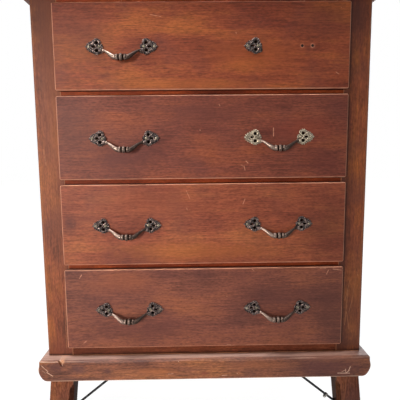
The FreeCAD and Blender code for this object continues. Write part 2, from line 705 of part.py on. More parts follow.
def build_carcass():
    """Write the sub-parts of the carcass."""
    right = stile()
    save("right_stile", right)
    save("left_stile", mirrored(right))
    panel = side_panel()
    save("right_side_panel", panel)
    save("left_side_panel", mirrored(panel))
    save("back_boards", *[back_board(i) for i in range(BACK_BOARDS)])
    names = ("bottom", "lower", "middle", "upper", "top")
    for name, level in zip(names, rail_levels()):
        save(name + "_rail", rail(*level))
        ledge = runner(level, guided=name != "top")
        save(name + "_runners", mirrored(ledge), ledge)
    save("top_board", top_board())


def build_stand():
    """Write the sub-parts of the stand."""
    front_y, rear_y = leg_fronts()
    front_leg = leg(front_y, -1)
    rear_leg = leg(rear_y, 1)
    front_brace, front_screws = brace(front_y + LEG_DEPTH / 2)
    knobbed_brace, _ = brace(front_y + LEG_DEPTH / 2, knob=True)
    rear_brace, rear_screws = brace(rear_y + LEG_DEPTH / 2)
    sockets = Part.Compound(front_screws + rear_screws)
    front_leg = front_leg.cut(sockets)
    rear_leg = rear_leg.cut(sockets)
    save("front_right_leg", front_leg)
    save("front_left_leg", mirrored(front_leg))
    save("rear_right_leg", rear_leg)
    save("rear_left_leg", mirrored(rear_leg))
    save("front_braces", mirrored(front_brace), knobbed_brace)
    save("rear_braces", mirrored(rear_brace), rear_brace)
    screws = front_screws + rear_screws
    screws += [mirrored(screw) for screw in screws]
    save("brace_screws", *screws)
    save("base_plank", plank(screws))


def main():
    """Write the whole chest."""
    os.makedirs("parts", exist_ok=True)
    build_stand()
    build_carcass()
    for number, level in zip((4, 3, 2, 1), front_levels()):
        build_drawer(number, level)


main()
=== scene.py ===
"""Looks of the chest of drawers on its splayed stand.

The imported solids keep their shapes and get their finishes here. The cast
rosettes, the bails and the slotted screws are modelled again with their
ornament, over the solids that they stand for.
"""

from __future__ import annotations

import json
import logging
import math
from collections.abc import Sequence
from dataclasses import dataclass, field, replace
from enum import Enum
from functools import cache

import bmesh
import bpy
from mathutils import Matrix, Vector

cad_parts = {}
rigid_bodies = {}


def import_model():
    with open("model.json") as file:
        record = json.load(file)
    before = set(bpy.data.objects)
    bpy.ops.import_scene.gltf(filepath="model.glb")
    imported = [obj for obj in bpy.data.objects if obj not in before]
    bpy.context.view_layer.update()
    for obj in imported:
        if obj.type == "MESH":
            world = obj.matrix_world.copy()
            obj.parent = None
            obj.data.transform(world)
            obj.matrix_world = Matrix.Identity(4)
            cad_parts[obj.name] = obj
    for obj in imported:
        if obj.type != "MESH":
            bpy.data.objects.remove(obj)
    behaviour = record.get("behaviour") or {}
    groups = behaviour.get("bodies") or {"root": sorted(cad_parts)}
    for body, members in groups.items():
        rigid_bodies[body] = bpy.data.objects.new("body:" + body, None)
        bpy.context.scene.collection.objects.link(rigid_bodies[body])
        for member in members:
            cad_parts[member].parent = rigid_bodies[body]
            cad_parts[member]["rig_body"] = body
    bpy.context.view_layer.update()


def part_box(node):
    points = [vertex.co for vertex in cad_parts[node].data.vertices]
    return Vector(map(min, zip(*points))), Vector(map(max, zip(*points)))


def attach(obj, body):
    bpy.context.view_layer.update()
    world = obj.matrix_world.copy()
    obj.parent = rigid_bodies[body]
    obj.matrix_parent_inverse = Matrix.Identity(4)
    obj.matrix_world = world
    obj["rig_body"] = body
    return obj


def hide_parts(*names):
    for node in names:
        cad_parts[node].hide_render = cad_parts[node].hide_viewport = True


log = logging.getLogger("chest")
MM = 0.001
PULL_MIDDLES = (-178.8, 172.8)  # middle of the left and right pull of a drawer, in mm
PLATE_THICK = 2.8  # plate of a rosette, in mm
PLATE_FACE = 211.3  # how far forward the plates stand, in mm
ARM_REACH = 32.0  # how far the arms of a bail reach to either side of its middle, in mm
BARE_HOLES = ((552.4, 93.3), (575.6, 93.3))  # holes of the missing rosette, placed as a scratch is
Socket = bpy.types.NodeSocket
Tree = bpy.types.NodeTree


def linear(code: str) -> tuple[float, float, float, float]:
    """Turn an sRGB hex value into the linear colour that a shader takes.

    Args:
        code: the colour as "#rrggbb".

    Returns:
        Red, green, blue and an alpha of 1.
    """
    shares = [int(code[i : i + 2], 16) / 255 for i in (1, 3, 5)]
    red, green, blue = (s / 12.92 if s <= 0.04045 else ((s + 0.055) / 1.055) ** 2.4 for s in shares)
    return red, green, blue, 1.0


def add(
    tree: Tree,
    kind: str,
    inputs: dict | None = None,
    out: str | int = 0,
    stops: Sequence[tuple[float, str]] = (),
    **settings: object,
) -> Socket | None:
    """Add one shader node with its settings and links.

    Args:
        tree: the node tree that gets it.
        kind: the node's type without "ShaderNode".
        inputs: a value or another node's output for each input, by name or number.
        out: the output wanted, by name or number.
        stops: place and hex colour of each stop of a colour ramp.
        **settings: the node's own properties.

    Returns:
        The output wanted, or None where the node has none.
    """
    node = tree.nodes.new("ShaderNode" + kind)
    for key, value in settings.items():
        setattr(node, key, value)
    for key, value in (inputs or {}).items():
        named = [s for s in node.inputs if s.enabled and s.name == key]
        socket = named[0] if named else node.inputs[key]
        if isinstance(value, Socket):
            tree.links.new(value, socket)
        else:
            socket.default_value = value
    for i, (place, code) in enumerate(stops):
        ramp = node.color_ramp.elements
        stop = ramp[i] if i < 2 else ramp.new(place)
        stop.position = place
        stop.color = linear(code)
    shown = [s for s in node.outputs if s.enabled]
    if isinstance(out, str):
        return node.outputs[out]
    return shown[out] if shown else None


def blank_material(name: str) -> bpy.types.Material:
    """Make a material with an empty node tree.

    Args:
        name: its name.

    Returns:
        The new material.
    """
    material = bpy.data.materials.new(name)
    material.use_nodes = True
    material.node_tree.nodes.clear()
    return material


def mesh_object(name: str, bm: bmesh.types.BMesh) -> bpy.types.Object:
    """Turn a finished bmesh, in metres, into an object at the origin.

    Args:
        name: the object's name.
        bm: the shape, which is freed.

    Returns:
        The new object, with smooth faces.
    """
    mesh = bpy.data.meshes.new(name)
    bm.to_mesh(mesh)
    bm.free()
    mesh.shade_smooth()
    thing = bpy.data.objects.new(name, mesh)
    bpy.context.scene.collection.objects.link(thing)
    return thing


def add_rod(
    bm: bmesh.types.BMesh, placing: Matrix, radius: float, length: float, segments: int
) -> None:
    """Add a closed rod.

    Args:
        bm: the mesh that gets it.
        placing: moves it there from the origin, where it stands along the z axis.
        radius: its radius.
        length: its length.
        segments: how many sides it has.
    """
    size = {"radius1": radius, "radius2": radius, "depth": length}
    bmesh.ops.create_cone(bm, cap_ends=True, segments=segments, matrix=placing, **size)


class GrainAxis(Enum):
    """The way that a board's grain runs."""

    ACROSS = 0
    DEEP = 1
    UPRIGHT = 2

    def stretch(self, length: float, width: float) -> Vector:
        """Give the mapping scale of a pattern so long and so wide.

        Args:
            length: size of the pattern along the grain, in mm.
            width: size of the pattern across the grain, in mm.

        Returns:
            Scale for each axis.
        """
        scale = Vector((1 / width, 1 / width, 1 / width))
        scale[self.value] = 1 / length
        return scale


@dataclass(frozen=True)
class Scratch:
    """A scratch or dent, in mm right of and above a board's lower left corner.

    Attributes:
        start: one end of it.
        end: the other end.
        width: its width.
        strength: how much of the stain it has taken off, from 0 to 1.
    """

    start: tuple[float, float]
    end: tuple[float, float]
    width: float = 2.2
    strength: float = 0.7

    def draw(self, tree: Tree, flat: Socket, low: Vector, broken: Socket, total: Socket) -> Socket:
        """Add the scratch to the others.

        Args:
            tree: the material's nodes.
            flat: position in mm, with no depth.
            low: lowest corner of the board, in mm.
            broken: noise that makes it come and go.
            total: how scratched the place is by the others, from 0 to 1.

        Returns:
            How scratched the place is now.
        """
        start = Vector((low.x + self.start[0], 0.0, low.z + self.start[1]))
        run = Vector((self.end[0] - self.start[0], 0.0, self.end[1] - self.start[1]))
        away = add(tree, "VectorMath", {0: flat, 1: start}, operation="SUBTRACT")
        share = run / max(run.length_squared, 0.01)
        share = add(tree, "VectorMath", {0: away, 1: share}, out="Value", operation="DOT_PRODUCT")
        share = add(tree, "Clamp", {"Value": share})
        near = add(tree, "VectorMath", {0: run, "Scale": share}, operation="SCALE")
        away = add(tree, "VectorMath", {0: away, 1: near}, out="Value", operation="DISTANCE")
        half = self.width / 2
        fade = {"Value": away, "From Min": 0.4 * half, "From Max": half}
        fade |= {"To Min": self.strength, "To Max": 0.0}
        fade = add(tree, "Math", {0: add(tree, "MapRange", fade), 1: broken}, operation="MULTIPLY")
        return add(tree, "Math", {0: total, 1: fade}, operation="MAXIMUM")


@dataclass(frozen=True)
class Patch:
    """A soft-edged place where the colour has shifted, placed as a scratch is.

    Attributes:
        centre: its middle.
        reach: how far it runs across and up.
        tone: the colour that it shifts to.
        strength: how far it shifts, from 0 to 1.
    """

    centre: tuple[float, float]
    reach: tuple[float, float]
    tone: str
    strength: float

    def lay(self, tree: Tree, place: Socket, low: Vector, ragged: Socket, colour: Socket) -> Socket:
        """Lay the patch over a board's colour.

        Args:
            tree: the material's nodes.
            place: position in mm.
            low: lowest corner of the board, in mm.
            ragged: noise that breaks the patch's edge.
            colour: the colour under it.

        Returns:
            The new colour.
        """
        across, up = self.centre
        middle = (low.x + across, 0.0, low.z + up)
        away = add(tree, "VectorMath", {0: place, 1: middle}, operation="SUBTRACT")
        reach = (1 / self.reach[0], 0.0, 1 / self.reach[1])
        away = add(tree, "VectorMath", {0: away, 1: reach}, operation="MULTIPLY")
        away = add(tree, "VectorMath", {0: away}, out="Value", operation="LENGTH")
        # the noise pushes the patch's edge in and out
        away = add(tree, "Math", {0: ragged, 1: 0.7, 2: away}, operation="MULTIPLY_ADD")
        fade = {"Value": away, "From Min": 0.45, "From Max": 1.4}
        fade |= {"To Min": self.strength, "To Max": 0.0}
        fade = add(tree, "MapRange", fade, interpolation_type="SMOOTHSTEP")
        mix = {"Factor": fade, "A": colour, "B": linear(self.tone)}
        return add(tree, "Mix", mix, data_type="RGBA")


@dataclass(frozen=True)
class WoodFinish:
    """A stained wood under thin old shellac.

    Attributes:
        name: what the finish is called.
        deep: the darkest grain.
        body: the main colour.
        glow: colour where the stain has worn thin.
        bloom: cooler tone left by handling and spills.
        bare: wood with no stain, on rubbed edges and in scratches.
        roughness: of the shellac.
        wear: how far in from an edge the stain is rubbed, in mm.
        contrast: how strongly the fine grain shows.
        gloss: specular level of the shellac, lower where it is dirty or gone.
    """

    name: str
    deep: str
    body: str
    glow: str
    bloom: str
    bare: str
    roughness: float = 0.46
    wear: float = 2.4
    contrast: float = 0.42
    gloss: float = 0.22


@dataclass
class Board:
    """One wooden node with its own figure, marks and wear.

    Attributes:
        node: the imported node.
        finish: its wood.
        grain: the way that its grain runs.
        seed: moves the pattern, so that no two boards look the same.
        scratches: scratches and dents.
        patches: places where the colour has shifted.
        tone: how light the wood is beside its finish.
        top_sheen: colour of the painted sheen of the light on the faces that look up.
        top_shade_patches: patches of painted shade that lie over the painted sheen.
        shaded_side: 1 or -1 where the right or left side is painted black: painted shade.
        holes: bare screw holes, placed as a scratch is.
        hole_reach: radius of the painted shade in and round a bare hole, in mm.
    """

    node: str
    finish: WoodFinish
    grain: GrainAxis
    seed: float
    scratches: Sequence[Scratch] = ()
    patches: Sequence[Patch] = ()
    tone: float = 1.0
    top_sheen: str | None = None
    top_shade_patches: Sequence[Patch] = ()
    shaded_side: int = 0
    holes: Sequence[tuple[float, float]] = ()
    hole_reach: float = 2.7

    @property
    def low(self) -> Vector:
        """Lowest corner, in mm."""
        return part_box(self.node)[0] / MM

    def dress(self) -> None:
        """Give the node its material."""
        finish = self.finish
        material = blank_material(f"{finish.name}_{self.node}")
        tree = material.node_tree
        here = add(tree, "TexCoord", out="Object")
        place = add(tree, "VectorMath", {0: here, "Scale": 1 / MM}, operation="SCALE")
        colour, height, fine = self.figure(tree, place)
        colour = self.stain(tree, place, colour)
        worn = self.rubbed_edges(tree, place)
        worn = add(tree, "Math", {0: worn, 1: self.marks(tree, place)}, operation="MAXIMUM")
        mix = {"Factor": worn, "A": colour, "B": linear(finish.bare)}
        colour = self.paint_shade(tree, place, add(tree, "Mix", mix, data_type="RGBA"))
        # bare wood is rougher than the shellac, and lies a little lower
        ends = {"To Min": finish.roughness + 0.1, "To Max": finish.roughness - 0.06}
        rough = add(tree, "MapRange", {"Value": fine} | ends)
        rough = add(tree, "Math", {0: worn, 1: 0.16, 2: rough}, operation="MULTIPLY_ADD")
        dent = add(tree, "Math", {0: worn, 1: -0.5, 2: height}, operation="MULTIPLY_ADD")
        normal = add(tree, "Bump", {"Strength": 0.5, "Distance": 0.25 * MM, "Height": dent})
        shader = {"Base Color": colour, "Roughness": rough, "Specular IOR Level": finish.gloss}
        shader = add(tree, "BsdfPrincipled", shader | {"Normal": normal})
        add(tree, "OutputMaterial", {"Surface": shader})
        for slot in bpy.data.objects[self.node].material_slots:
            slot.material = material

    def figure(self, tree: Tree, place: Socket) -> tuple[Socket, Socket, Socket]:
        """Draw the grain.

        Args:
            tree: the material's nodes.
            place: position in mm.

        Returns:
            Colour, height for the bump, and the fine grain by itself.
        """
        offset = Vector((3.71, 1.37, 2.23)) * self.seed
        bend = add(tree, "TexNoise", {"Vector": place, "Scale": 1 / 170, "Detail": 1.0}, out="Color")
        bend = add(tree, "VectorMath", {0: bend, 1: (0.5, 0.5, 0.5)}, operation="SUBTRACT")
        wavy = add(tree, "VectorMath", {0: bend, 1: (7.0,) * 3, 2: place}, operation="MULTIPLY_ADD")
        layers = {}
        # Length, width and detail of each layer, in mm. The fibres, flecks and pores are drawn about
        # four times coarser than real ones, so that they still show across a room.
        sizes = {"cloud": (150, 70, 2.0), "band": (300, 26, 2.0), "streak": (90, 4.5, 3.0)}
        sizes |= {"fibre": (42, 2.1, 3.0), "fleck": (8, 2.5, 2.0), "pore": (16, 0.9, 1.0)}
        for name, (length, width, detail) in sizes.items():
            scale = self.grain.stretch(length, width)
            spot = add(tree, "Mapping", {"Vector": wavy, "Scale": scale, "Location": offset})
            layers[name] = add(tree, "TexNoise", {"Vector": spot, "Scale": 1.0, "Detail": detail})
        mixed = 0.0
        for name, share in (("streak", 0.2), ("band", 0.25), ("cloud", 0.55)):
            mixed = {0: layers[name], 1: share, 2: mixed}
            mixed = add(tree, "Math", mixed, operation="MULTIPLY_ADD")
        finish = self.finish
        stops = ((0.35, finish.deep), (0.5, finish.body), (0.63, finish.glow))
        colour = add(tree, "ValToRGB", {"Fac": mixed}, stops=stops)
        fine = add(tree, "Math", {0: layers["fibre"], 1: layers["fleck"]}, operation="ADD")
        spread = {"Value": fine, "From Min": 0.7, "From Max": 1.3}
        spread["To Min"] = self.tone * (1 - finish.contrast)
        spread["To Max"] = self.tone * (1 + finish.contrast)
        shade = add(tree, "MapRange", spread)
        colour = add(tree, "HueSaturation", {"Value": shade, "Color": colour})
        pores = {"Value": layers["pore"], "From Min": 0.6, "From Max": 0.7, "To Max": 0.4}
        pores = add(tree, "MapRange", pores)
        dark = linear(finish.deep)
        colour = add(tree, "Mix", {"Factor": pores, "A": colour, "B": dark}, data_type="RGBA")
        height = add(tree, "Math", {0: pores, 1: -1.5, 2: layers["fibre"]}, operation="MULTIPLY_ADD")
        return colour, height, layers["fibre"]

    def stain(self, tree: Tree, place: Socket, colour: Socket) -> Socket:
        """Lay the blotches, the placed patches and the painted sheen, with its own patches, over the
        grain.

        Args:
            tree: the material's nodes.
            place: position in mm.
            colour: the grain's colour.

        Returns:
            The new colour.
        """
        shift = Vector((17.0, 5.0, 29.0)) * self.seed
        spot = add(tree, "Mapping", {"Vector": place, "Location": shift})
        cloud = add(tree, "TexNoise", {"Vector": spot, "Scale": 1 / 95, "Detail": 3.0})
        cloud = {"Value": cloud, "From Min": 0.5, "From Max": 0.72, "To Max": 0.42}
        mix = {"Factor": add(tree, "MapRange", cloud), "A": colour, "B": linear(self.finish.bloom)}
        colour = add(tree, "Mix", mix, data_type="RGBA")
        ragged = add(tree, "TexNoise", {"Vector": spot, "Scale": 1 / 14, "Detail": 3.0})
        for patch in self.patches:
            colour = patch.lay(tree, place, self.low, ragged, colour)
        # painted sheen on the faces that look up
        if self.top_sheen:
            mix = {"Factor": self.sheen_mask(tree, place, shift), "A": colour, "B": linear(self.top_sheen)}
            colour = add(tree, "Mix", mix, data_type="RGBA")
        for patch in self.top_shade_patches:
            colour = patch.lay(tree, place, self.low, ragged, colour)
        return colour

    def sheen_mask(self, tree: Tree, place: Socket, shift: Vector) -> Socket:
        """Find where a face that looks up gets the painted sheen, in streaks behind its front arris.

        Args:
            tree: the material's nodes.
            place: position in mm.
            shift: moves the streaks.

        Returns:
            How much painted sheen the place gets, from 0 to 1.
        """
        facing = add(tree, "TexCoord", out="Normal")
        up = {0: facing, 1: (0.0, 0.0, 1.0)}
        up = add(tree, "VectorMath", up, out="Value", operation="DOT_PRODUCT")
        up = add(tree, "MapRange", {"Value": up, "From Min": 0.8, "From Max": 1.0, "To Max": 0.9})
        streaks = {"Vector": place, "Scale": self.grain.stretch(60, 3.5), "Location": shift}
        streaks = add(tree, "Mapping", streaks)
        streaks = add(tree, "TexNoise", {"Vector": streaks, "Scale": 1.0, "Detail": 3.0})
        streaks = {"Value": streaks, "From Min": 0.3, "From Max": 0.65, "To Min": 0.45}
        up = add(tree, "Math", {0: up, 1: add(tree, "MapRange", streaks)}, operation="MULTIPLY")
        # the first few millimetres, over the front arris, get little of the sheen: painted shade of the
        # rounded arris
        depth = add(tree, "SeparateXYZ", {0: place}, out="Y")
        front = self.low.y
        inside = {"Value": depth, "From Min": front + 3.5, "From Max": front + 8.5, "To Min": 0.1}
        inside = add(tree, "MapRange", inside, interpolation_type="SMOOTHSTEP")
        return add(tree, "Math", {0: up, 1: inside}, operation="MULTIPLY")

    def paint_shade(self, tree: Tree, place: Socket, colour: Socket) -> Socket:
        """Paint shade black into the board's bare screw holes and onto its shaded side.

        Args:
            tree: the material's nodes.
            place: position in mm.
            colour: the wood's colour.

        Returns:
            The new colour.
        """
        black = linear("#0d0503")
        # the chosen side is painted dark: painted shade
        if self.shaded_side:
            facing = add(tree, "TexCoord", out="Normal")
            side = {0: facing, 1: (self.shaded_side, 0.0, 0.0)}
            side = add(tree, "VectorMath", side, out="Value", operation="DOT_PRODUCT")
            side = {"Value": side, "From Min": 0.3, "From Max": 0.8, "To Max": 0.8}
            mix = {"Factor": add(tree, "MapRange", side), "A": colour, "B": black}
            colour = add(tree, "Mix", mix, data_type="RGBA")
        # each bare hole is painted black: painted shade in the hole
        for across, up in self.holes:
            flat = add(tree, "VectorMath", {0: place, 1: (1.0, 0.0, 1.0)}, operation="MULTIPLY")
            middle = (self.low.x + across, 0.0, self.low.z + up)
            away = add(tree, "VectorMath", {0: flat, 1: middle}, out="Value", operation="DISTANCE")
            dark = {"Value": away, "From Min": self.hole_reach, "From Max": self.hole_reach + 0.5}
            dark = add(tree, "MapRange", dark | {"To Min": 1.0, "To Max": 0.0})
            colour = add(tree, "Mix", {"Factor": dark, "A": colour, "B": black}, data_type="RGBA")
        return colour

    def rubbed_edges(self, tree: Tree, place: Socket) -> Socket:
        """Find where the board's arrises are rubbed.

        Args:
            tree: the material's nodes.
            place: position in mm.

        Returns:
            How worn the place is, from 0 to 1.
        """
        low, high = (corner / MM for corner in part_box(self.node))
        away = add(tree, "VectorMath", {0: place, 1: (low + high) / 2}, operation="SUBTRACT")
        away = add(tree, "VectorMath", {0: away}, operation="ABSOLUTE")
        away = add(tree, "VectorMath", {0: (high - low) / 2, 1: away}, operation="SUBTRACT")
        x, y, z = add(tree, "SeparateXYZ", {0: away}).node.outputs
        least = add(tree, "Math", {0: x, 1: z}, operation="MINIMUM")
        most = add(tree, "Math", {0: x, 1: z}, operation="MAXIMUM")
        most = add(tree, "Math", {0: most, 1: y}, operation="MINIMUM")
        edge = add(tree, "Math", {0: least, 1: most}, operation="MAXIMUM")
        wear = self.finish.wear
        fade = {"Value": edge, "From Min": 0.35 * wear, "From Max": wear, "To Min": 1.0, "To Max": 0.0}
        fade = add(tree, "MapRange", fade, interpolation_type="SMOOTHSTEP")
        patchy = add(tree, "TexNoise", {"Vector": place, "Scale": 1 / 26, "Detail": 4.0})
        patchy = {"Value": patchy, "From Min": 0.32, "From Max": 0.52, "To Min": 0.5}
        return add(tree, "Math", {0: fade, 1: add(tree, "MapRange", patchy)}, operation="MULTIPLY")

    def marks(self, tree: Tree, place: Socket) -> Socket:
        """Draw the scratches and a scatter of small knocks.

        Args:
            tree: the material's nodes.
            place: position in mm.

        Returns:
            How scratched the place is, from 0 to 1.
        """
        dots = add(tree, "TexVoronoi", {"Vector": place, "Scale": 1 / 31}, out="Distance")
        rare = add(tree, "TexNoise", {"Vector": place, "Scale": 1 / 33, "Detail": 0.0})
        rare = {"Value": rare, "From Min": 0.55, "From Max": 0.75, "To Max": 0.55}
        rare = add(tree, "MapRange", rare)
        dots = {"Value": dots, "From Min": 0.02, "From Max": 0.05, "To Min": 1.0, "To Max": 0.0}
        total = add(tree, "Math", {0: add(tree, "MapRange", dots), 1: rare}, operation="MULTIPLY")
        if not self.scratches:
            return total
        flat = add(tree, "VectorMath", {0: place, 1: (1.0, 0.0, 1.0)}, operation="MULTIPLY")
        broken = add(tree, "TexNoise", {"Vector": place, "Scale": 1 / 5, "Detail": 2.0})
        broken = {"Value": broken, "From Min": 0.3, "From Max": 0.55, "To Min": 0.35}
        broken = add(tree, "MapRange", broken)
        for scratch in self.scratches:
            total = scratch.draw(tree, flat, self.low, broken, total)
        return total


@dataclass(frozen=True)
class MetalFinish:
    """A metal with grease and dust in its hollows and rubbed high places.

    Attributes:
        name: what the finish is called.
        recess: colour in the hollows.
        body: main colour.
        rub: colour of the high places that hands have rubbed.
        roughness: of the main surface.
        pit: width of the casting's pits, in mm.
        rubbed: how much of the surface is rubbed, from 0 to 1.
        plate: how far forward a rosette's plate stands, in mm; what is proud of it is rubbed.
        metal: how metallic the hollows and the high places look.
        mottled: how much the patina varies over a few millimetres.
        arm_light_and_shade: how much lighter than its middle the left arm, and darker the right arm, of
            each bail is painted: painted light and painted shade.
    """

    name: str
    recess: str
    body: str
    rub: str
    roughness: float
    pit: float
    rubbed: float = 0.4
    plate: float | None = None
    metal: tuple[float, float] = (0.8, 1.0)
    mottled: float = 1.2
    arm_light_and_shade: tuple[float, float] | None = None

    def material(self) -> bpy.types.Material:
        """Make the finish as a material.

        Returns:
            The new material.
        """
        material = blank_material(self.name)
        tree = material.node_tree
        here = add(tree, "TexCoord", out="Object")
        place = add(tree, "VectorMath", {0: here, "Scale": 1 / MM}, operation="SCALE")
        mottle = add(tree, "TexNoise", {"Vector": place, "Scale": 1 / 4.5, "Detail": 3.0})
        pits = add(tree, "TexNoise", {"Vector": place, "Scale": 1 / self.pit, "Detail": 3.0})
        ridge = add(tree, "NewGeometry", out="Pointiness")
        ridge = add(tree, "MapRange", {"Value": ridge, "From Min": 0.46, "From Max": 0.54})
        mixed = add(tree, "Math", {0: mottle, 1: self.mottled, 2: ridge}, operation="MULTIPLY_ADD")
        mixed = add(tree, "Math", {0: pits, 1: 0.6, 2: mixed}, operation="MULTIPLY_ADD")
        if self.plate is not None:
            # hands rub what stands proud of the plate, and dirt stays below it
            depth = add(tree, "SeparateXYZ", {0: place}, out="Y")
            ends = {"From Min": -self.plate, "From Max": -self.plate - 1.8}
            ends |= {"To Min": -0.12, "To Max": 0.12}
            proud = add(tree, "MapRange", {"Value": depth} | ends)
            mixed = add(tree, "Math", {0: mixed, 1: proud}, operation="ADD")
        if self.arm_light_and_shade:
            # the left and right halves of a drawer are folded together, so one ramp serves both bails
            # a ramp across each bail paints light on its left arm and shade on its right arm
            left, right = PULL_MIDDLES
            half = (right - left) / 2
            across = add(tree, "SeparateXYZ", {0: place}, out="X")
            across = add(tree, "Math", {0: across, 1: left - half, 2: left + half}, operation="WRAP")
            ends = {"From Min": left - ARM_REACH, "From Max": left + ARM_REACH}
            ends |= {"To Min": self.arm_light_and_shade[0], "To Max": self.arm_light_and_shade[1]}
            arm_shading = add(tree, "MapRange", {"Value": across} | ends)
            mixed = add(tree, "Math", {0: mixed, 1: arm_shading}, operation="ADD")
        mixed = add(tree, "Math", {0: mixed, 1: self.rubbed - 0.7 - self.mottled / 2}, operation="ADD")
        stops = ((0.1, self.recess), (0.45, self.body), (0.9, self.rub))
        colour = add(tree, "ValToRGB", {"Fac": mixed}, stops=stops)
        rough = {"Value": mixed, "To Min": self.roughness + 0.15, "To Max": self.roughness - 0.08}
        rough = add(tree, "MapRange", rough)
        metal = {"Value": mixed, "To Min": self.metal[0], "To Max": self.metal[1]}
        metal = add(tree, "MapRange", metal)
        normal = add(tree, "Bump", {"Strength": 0.35, "Distance": 0.2 * MM, "Height": pits})
        shader = {"Base Color": colour, "Metallic": metal, "Roughness": rough, "Normal": normal}
        add(tree, "OutputMaterial", {"Surface": add(tree, "BsdfPrincipled", shader)})
        return material


@dataclass(frozen=True)
class ShadeFiller:
    """A dark matte finish, coloured as blackened wax and dust, that paints the shade where it is put.

    Attributes:
        name: what the finish is called.
        dark: its main colour.
        dusty: colour of its drier places.
    """

    name: str
    dark: str
    dusty: str

    def material(self) -> bpy.types.Material:
        """Make the finish as a material.

        Returns:
            The new material.
        """
        material = blank_material(self.name)
        tree = material.node_tree
        here = add(tree, "TexCoord", out="Object")
        crumbs = add(tree, "TexNoise", {"Vector": here, "Scale": 1 / (2.0 * MM), "Detail": 3.0})
        colour = add(tree, "ValToRGB", {"Fac": crumbs}, stops=((0.4, self.dark), (0.7, self.dusty)))
        normal = add(tree, "Bump", {"Strength": 0.6, "Distance": 0.2 * MM, "Height": crumbs})
        shader = {"Base Color": colour, "Normal": normal}
        shader |= {"Roughness": 0.9, "Specular IOR Level": 0.03}
        add(tree, "OutputMaterial", {"Surface": add(tree, "BsdfPrincipled", shader)})
        return material


@dataclass(frozen=True)
class Lamp:
    """A softbox, placed, aimed and sized in metres.

    Attributes:
        name: what the lamp is called.
        place: where it stands.
        aim: the point that it faces.
        size: its width and height.
        power: in watts.
        tint: colour of its light.
        spread: how wide its grid lets the light out, in degrees.
    """

    name: str
    place: tuple[float, float, float]
    aim: tuple[float, float, float]
    size: tuple[float, float]
    power: float
    tint: str
    spread: float = 180.0

    def light(self) -> None:
        """Put the lamp in the scene."""
        data = bpy.data.lights.new(self.name, "AREA")
        data.shape = "RECTANGLE"
        data.size, data.size_y = self.size
        data.energy = self.power
        data.color = linear(self.tint)[:3]
        data.spread = math.radians(self.spread)
        lamp = bpy.data.objects.new(self.name, data)
        bpy.context.scene.collection.objects.link(lamp)
        turn = (Vector(self.aim) - Vector(self.place)).to_track_quat("-Z", "Y")
        lamp.matrix_world = Matrix.LocRotScale(Vector(self.place), turn, None)


@dataclass
class Studio:
    """White surroundings, a pale floor and three soft lamps.

    Attributes:
        floor_reach: half the floor's width, in metres.
        ambient: strength of the surroundings' light.
        lamps: the lamps.
    """

    floor_reach: float = 9.0
    ambient: float = 0.16
    lamps: Sequence[Lamp] = (
        Lamp("key", (-1.6, -2.4, 0.7), (-0.16, -0.2, 0.5), (0.3, 1.5), 3.3, "#fff6ee", 27.0),
        Lamp("overhead", (-0.7, -0.75, 4.0), (-0.25, -0.1, 0.3), (1.0, 1.0), 105.0, "#ffffff"),
        Lamp("behind", (1.9, 2.3, 1.7), (0.0, 0.2, 0.5), (1.2, 1.2), 44.0, "#ffffff"),
    )

    def build(self) -> None:
        """Set up the world, the floor and the lamps."""
        world = bpy.data.worlds.new("surroundings")
        world.use_nodes = True
        tree = world.node_tree
        tree.nodes.clear()
        seen = self.seen_rays(tree)
        strength = add(tree, "MapRange", {"Value": seen, "To Min": self.ambient})
        sky = add(tree, "Background", {"Color": (1.0, 1.0, 1.0, 1.0), "Strength": strength})
        add(tree, "OutputWorld", {"Surface": sky})
        bpy.context.scene.world = world
        self.lay_floor()
        for lamp in self.lamps:
            lamp.light()
        log.info("studio: %d lamps", len(self.lamps))

    @staticmethod
    def seen_rays(tree: Tree) -> Socket:
        """Tell the rays that show the backdrop, straight or in metal or glass, from the rest.

        Args:
            tree: the nodes of the world or of a material.

        Returns:
            1 for those rays and 0 for the others.
        """
        seen = add(tree, "LightPath", out="Is Camera Ray")
        paths = seen.node.outputs
        seen = add(tree, "Math", {0: seen, 1: paths["Is Glossy Ray"]}, operation="MAXIMUM")
        return add(tree, "Math", {0: seen, 1: paths["Is Transmission Ray"]}, operation="MAXIMUM")

    def lay_floor(self) -> None:
        """Lay the floor, which goes white to the eye but keeps the shadow."""
        bm = bmesh.new()
        bmesh.ops.create_grid(bm, x_segments=1, y_segments=1, size=self.floor_reach)
        floor = mesh_object("floor", bm)
        material = blank_material("painted_floor")
        tree = material.node_tree
        here = add(tree, "TexCoord", out="Object")
        dapple = add(tree, "TexNoise", {"Vector": here, "Scale": 5.0, "Detail": 4.0})
        stops = ((0.3, "#e2e0dd"), (0.7, "#ebeae8"))
        paint = add(tree, "ValToRGB", {"Fac": dapple}, stops=stops)
        matt = {"Base Color": paint, "Roughness": 0.9, "Specular IOR Level": 0.1}
        lit = add(tree, "BsdfPrincipled", matt)
        white = add(tree, "Emission", {"Color": (1.0, 1.0, 1.0, 1.0), "Strength": 1.15})
        share = add(tree, "Math", {0: self.seen_rays(tree), 1: 0.85}, operation="MULTIPLY")
        both = add(tree, "MixShader", {0: share, 1: lit, 2: white})
        add(tree, "OutputMaterial", {"Surface": both})
        floor.data.materials.append(material)


